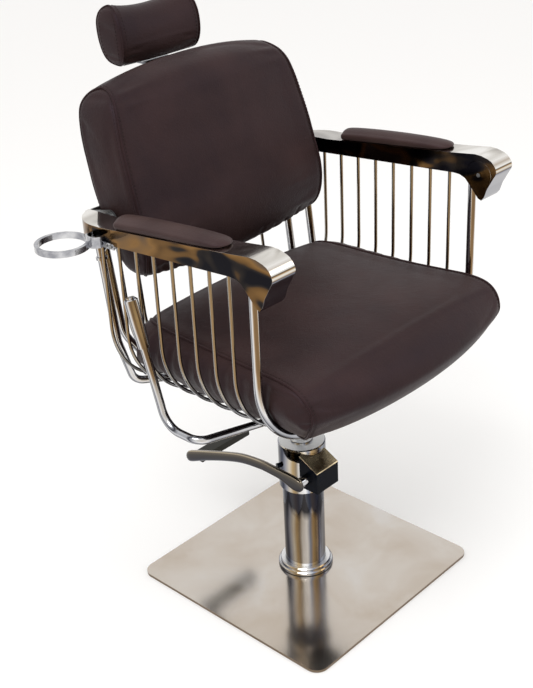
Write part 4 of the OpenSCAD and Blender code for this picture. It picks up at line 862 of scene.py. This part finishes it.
def wire_tree():
    """U-shaped wires in a row from one armrest bar to the other, their ends cut to the bars' slope."""
    tree, names, given = new_tree("cradle_wires", {
        "Half width": 0.313, "Bend radius": 0.150, "Flat height": 0.495, "Wire diameter": 0.007, "Wires": 8,
        "Pitch": 0.0465, "Rear wire": 0.1885, "Bar height at zero": 0.8410, "Bar slope": -0.0662})
    line = add(tree, "GeometryNodeCurvePrimitiveLine")
    four = add(tree, "GeometryNodeResampleCurve", {"Curve": line, "Count": 4}, mode="COUNT")
    index = add(tree, "GeometryNodeInputIndex")
    right = add(tree, "Math", {0: index, 1: 1.5}, operation="GREATER_THAN")
    side = add(tree, "Math", {0: right, 1: 2.0, 2: -1.0}, operation="MULTIPLY_ADD")
    x = add(tree, "Math", {0: side, 1: given["Half width"]}, operation="MULTIPLY")
    off = add(tree, "Math", {0: index, 1: 1.5}, operation="SUBTRACT")
    far = add(tree, "Math", {0: off}, operation="ABSOLUTE")
    end = add(tree, "Math", {0: far, 1: 1.0}, operation="GREATER_THAN")
    z = add(tree, "MapRange", {"Value": end, "To Min": given["Flat height"], "To Max": given["Bar height at zero"]})
    corner = add(tree, "CombineXYZ", {"X": x, "Z": z})
    set_corner = add(tree, "GeometryNodeSetPosition", {"Geometry": four, "Position": corner})
    bent = add(tree, "GeometryNodeFilletCurve", {"Curve": set_corner, "Radius": given["Bend radius"],
                                                 "Count": 22}, mode="POLY")
    radius = add(tree, "Math", {0: given["Wire diameter"], 1: 0.5}, operation="MULTIPLY")
    round_wire = add(tree, "GeometryNodeCurvePrimitiveCircle", {"Resolution": 14, "Radius": radius}, mode="RADIUS")
    wire = add(tree, "GeometryNodeCurveToMesh", {"Curve": bent, "Profile Curve": round_wire, "Fill Caps": True})
    back = add(tree, "Math", {0: given["Pitch"], 1: -1.0}, operation="MULTIPLY")
    start = add(tree, "CombineXYZ", {"Y": given["Rear wire"]})
    step = add(tree, "CombineXYZ", {"Y": back})
    row = add(tree, "GeometryNodeMeshLine", {"Count": given["Wires"], "Start Location": start,
                                             "Offset": step}, mode="OFFSET")
    placed = add(tree, "GeometryNodeInstanceOnPoints", {"Points": row, "Instance": wire})
    real = add(tree, "GeometryNodeRealizeInstances", {"Geometry": placed})
    at = add(tree, "SeparateXYZ", {"Vector": add(tree, "GeometryNodeInputPosition")})
    cut = add(tree, "Math", {0: at.outputs["Y"], 1: given["Bar slope"]}, operation="MULTIPLY")
    bend_top = add(tree, "Math", {0: given["Flat height"], 1: given["Bend radius"]}, operation="ADD")
    share = add(tree, "MapRange", {"Value": at.outputs["Z"], "From Min": bend_top,
                                   "From Max": given["Bar height at zero"]})
    lift = add(tree, "Math", {0: cut, 1: share}, operation="MULTIPLY")
    shift = add(tree, "CombineXYZ", {"Z": lift})
    fitted = add(tree, "GeometryNodeSetPosition", {"Geometry": real, "Offset": shift})
    smooth = add(tree, "GeometryNodeSetShadeSmooth", {"Geometry": fitted})
    plated = add(tree, "GeometryNodeSetMaterial", {"Geometry": smooth, "Material": wire_chrome})
    add(tree, "NodeGroupOutput", {"Geometry": plated})
    return tree, names


def make_wires():
    """The thin wires under and beside the seat, as one piece."""
    tree, names = wire_tree()
    carrier = bpy.data.objects.new("wire_carrier", bpy.data.meshes.new("wire_carrier"))
    scene.collection.objects.link(carrier)
    mesh = baked(carrier, tree, {names["Wires"]: wires}, "seat_wires")
    tidy_skin(mesh)
    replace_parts(set_piece(mesh, "seat_wires", "seat"), "wire_cradles", "left_wires", "right_wires")


# ---------------- floor, light, finish

def seen_ray(tree):
    """One for a ray that shows a surface, straight or in a mirror, and nothing for a ray that only lights one."""
    path = add(tree, "LightPath").outputs
    straight = add(tree, "Math", {0: path["Is Camera Ray"], 1: path["Is Glossy Ray"]}, operation="MAXIMUM")
    return add(tree, "Math", {0: straight, 1: path["Is Transmission Ray"]}, operation="MAXIMUM")


def make_studio():
    """A plain pale floor, a soft room of light that is brightest overhead, and two soft lamps."""
    ground = bpy.data.meshes.new("studio_floor")
    reach, sunk = 30, -0.0003
    corners = [(-reach, -reach, sunk), (reach, -reach, sunk), (reach, reach, sunk), (-reach, reach, sunk)]
    ground.from_pydata(corners, [], [(0, 1, 2, 3)])
    floor = bpy.data.objects.new("studio_floor", ground)
    scene.collection.objects.link(floor)
    white, tree, surface = new_finish("matt_white_floor", Roughness=1.0, Specular_IOR_Level=0.0)
    # White to the eye and in the chrome, but it throws less light back up, as a floor of a real room does
    tone = add(tree, "Mix", {"Factor": seen_ray(tree), "A": paint("#a9a9a9"), "B": paint("#fbfbfb")}, data_type="RGBA")
    feed(tree, surface, Base_Color=tone)
    ground.materials.append(white)

    world = bpy.data.worlds.new("studio_room")
    world.use_nodes = True
    tree = world.node_tree
    sky = tree.nodes["Background"]
    look = add(tree, "TexCoord").outputs["Generated"]
    height = add(tree, "SeparateXYZ", {"Vector": look})
    band = add(tree, "ValToRGB", {"Fac": height.outputs["Z"]},
               stops=[(0.0, "#9b9a99"), (0.20, "#a5a4a2"), (0.34, "#b9b4af"), (0.52, "#c9c4be"), (0.66, "#e9e7e4"),
                      (0.8, "#ffffff")])
    lit = add(tree, "Background", {"Color": band, "Strength": 1.22})
    sky.inputs["Color"].default_value = paint("#ffffff")
    both = add(tree, "MixShader", {0: seen_ray(tree), 1: lit, 2: sky})
    tree.links.new(source_of(both), tree.nodes["World Output"].inputs["Surface"])
    scene.world = world

    for name, place, size, power in (("key_softbox", (-1.9, -0.7, 3.0), (1.8, 1.2), 44.0),
                                     ("fill_softbox", (1.6, -2.2, 2.4), (1.4, 1.0), 9.0)):
        lamp = bpy.data.lights.new(name, "AREA")
        lamp.shape = "RECTANGLE"
        lamp.size, lamp.size_y = size
        lamp.energy = power
        light = bpy.data.objects.new(name, lamp)
        scene.collection.objects.link(light)
        light.location = place
        light.rotation_euler = (Vector((0, 0, 0.6)) - Vector(place)).to_track_quat("-Z", "Y").to_euler()

    scene.view_settings.view_transform = "Standard"


# Finish, slot, body, bevel in mm and smoothing angle of each CAD node that is shown as a softened copy
softened = {
    "base_plate": (plate_steel, "satin_steel", "base", 0.5, 32),
    "floor_collar": (column_chrome, "chrome", "base", 0.0, 40),
    "column_cover": (column_chrome, "chrome", "base", 0.0, 40),
    "pump_head": (column_chrome, "chrome", "base", 0.0, 40),
    "pump_box": (box_black, "black", "base", 1.2, 32),
    "pump_lid": (lid_chrome, "chrome", "base", 0.7, 32),
    "foot_pedal": (black_rubber, "black", "foot_lever", 1.6, 32),
    "left_arm": (bar_chrome, "bar_metal", "seat", 1.0, 30),
    "right_arm": (bar_chrome, "bar_metal", "seat", 1.0, 30),
    "arm_plugs": (bar_chrome, "chrome", "seat", 0.7, 30),
    "dryer_holder": (holder_satin, "chrome", "seat", 0.9, 34),
}
# Finish of every other CAD node, put on the node itself
on_node = {name: coat for coat, names in (
    (inner_steel, "flange_screws foot_flange lift_cylinder plunger_barrel pump_plunger lever_shaft pump_crank piston"
                  " arm_bases plug_screws pivot_pins back_brackets lever_bearing holder_screws"),
    (tube_chrome, "lever_sleeve front_cradle front_uprights left_rail right_rail rear_posts rear_hoop post_rings"
                  " post_guide headrest_bracket recline_lever lever_grip"),
    (wire_chrome, "wire_cradles left_wires right_wires back_wires"),
    (column_chrome, "rod_guide grip_cap"), (ground_rod, "piston_rod headrest_posts"), (lever_satin, "pump_lever"),
    (black_rubber, "collar_gasket"), (box_black, "oil_plug"), (black_paint, "seat_mount cross_bars back_panel"),
    (pad_leather, "left_pad right_pad"), (leather, "seat_cushion back_cushion headrest_cushion"),
    (birch_ply, "seat_board"),
) for name in names.split()}


def finish_nodes():
    """Gives every CAD node its finish, and shows a softened copy in place of some."""
    for name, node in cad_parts.items():
        coat = on_node.get(name) or softened[name][0]
        for slot in node.material_slots:
            slot.material = coat
    for name, (coat, slot, body, bevel, smooth) in softened.items():
        remade(name, coat, body, bevel, smooth)


aim_camera()
make_studio()
finish_nodes()
stitches = stitch_tree()
make_covers()
make_pads()
make_lever()
make_wires()
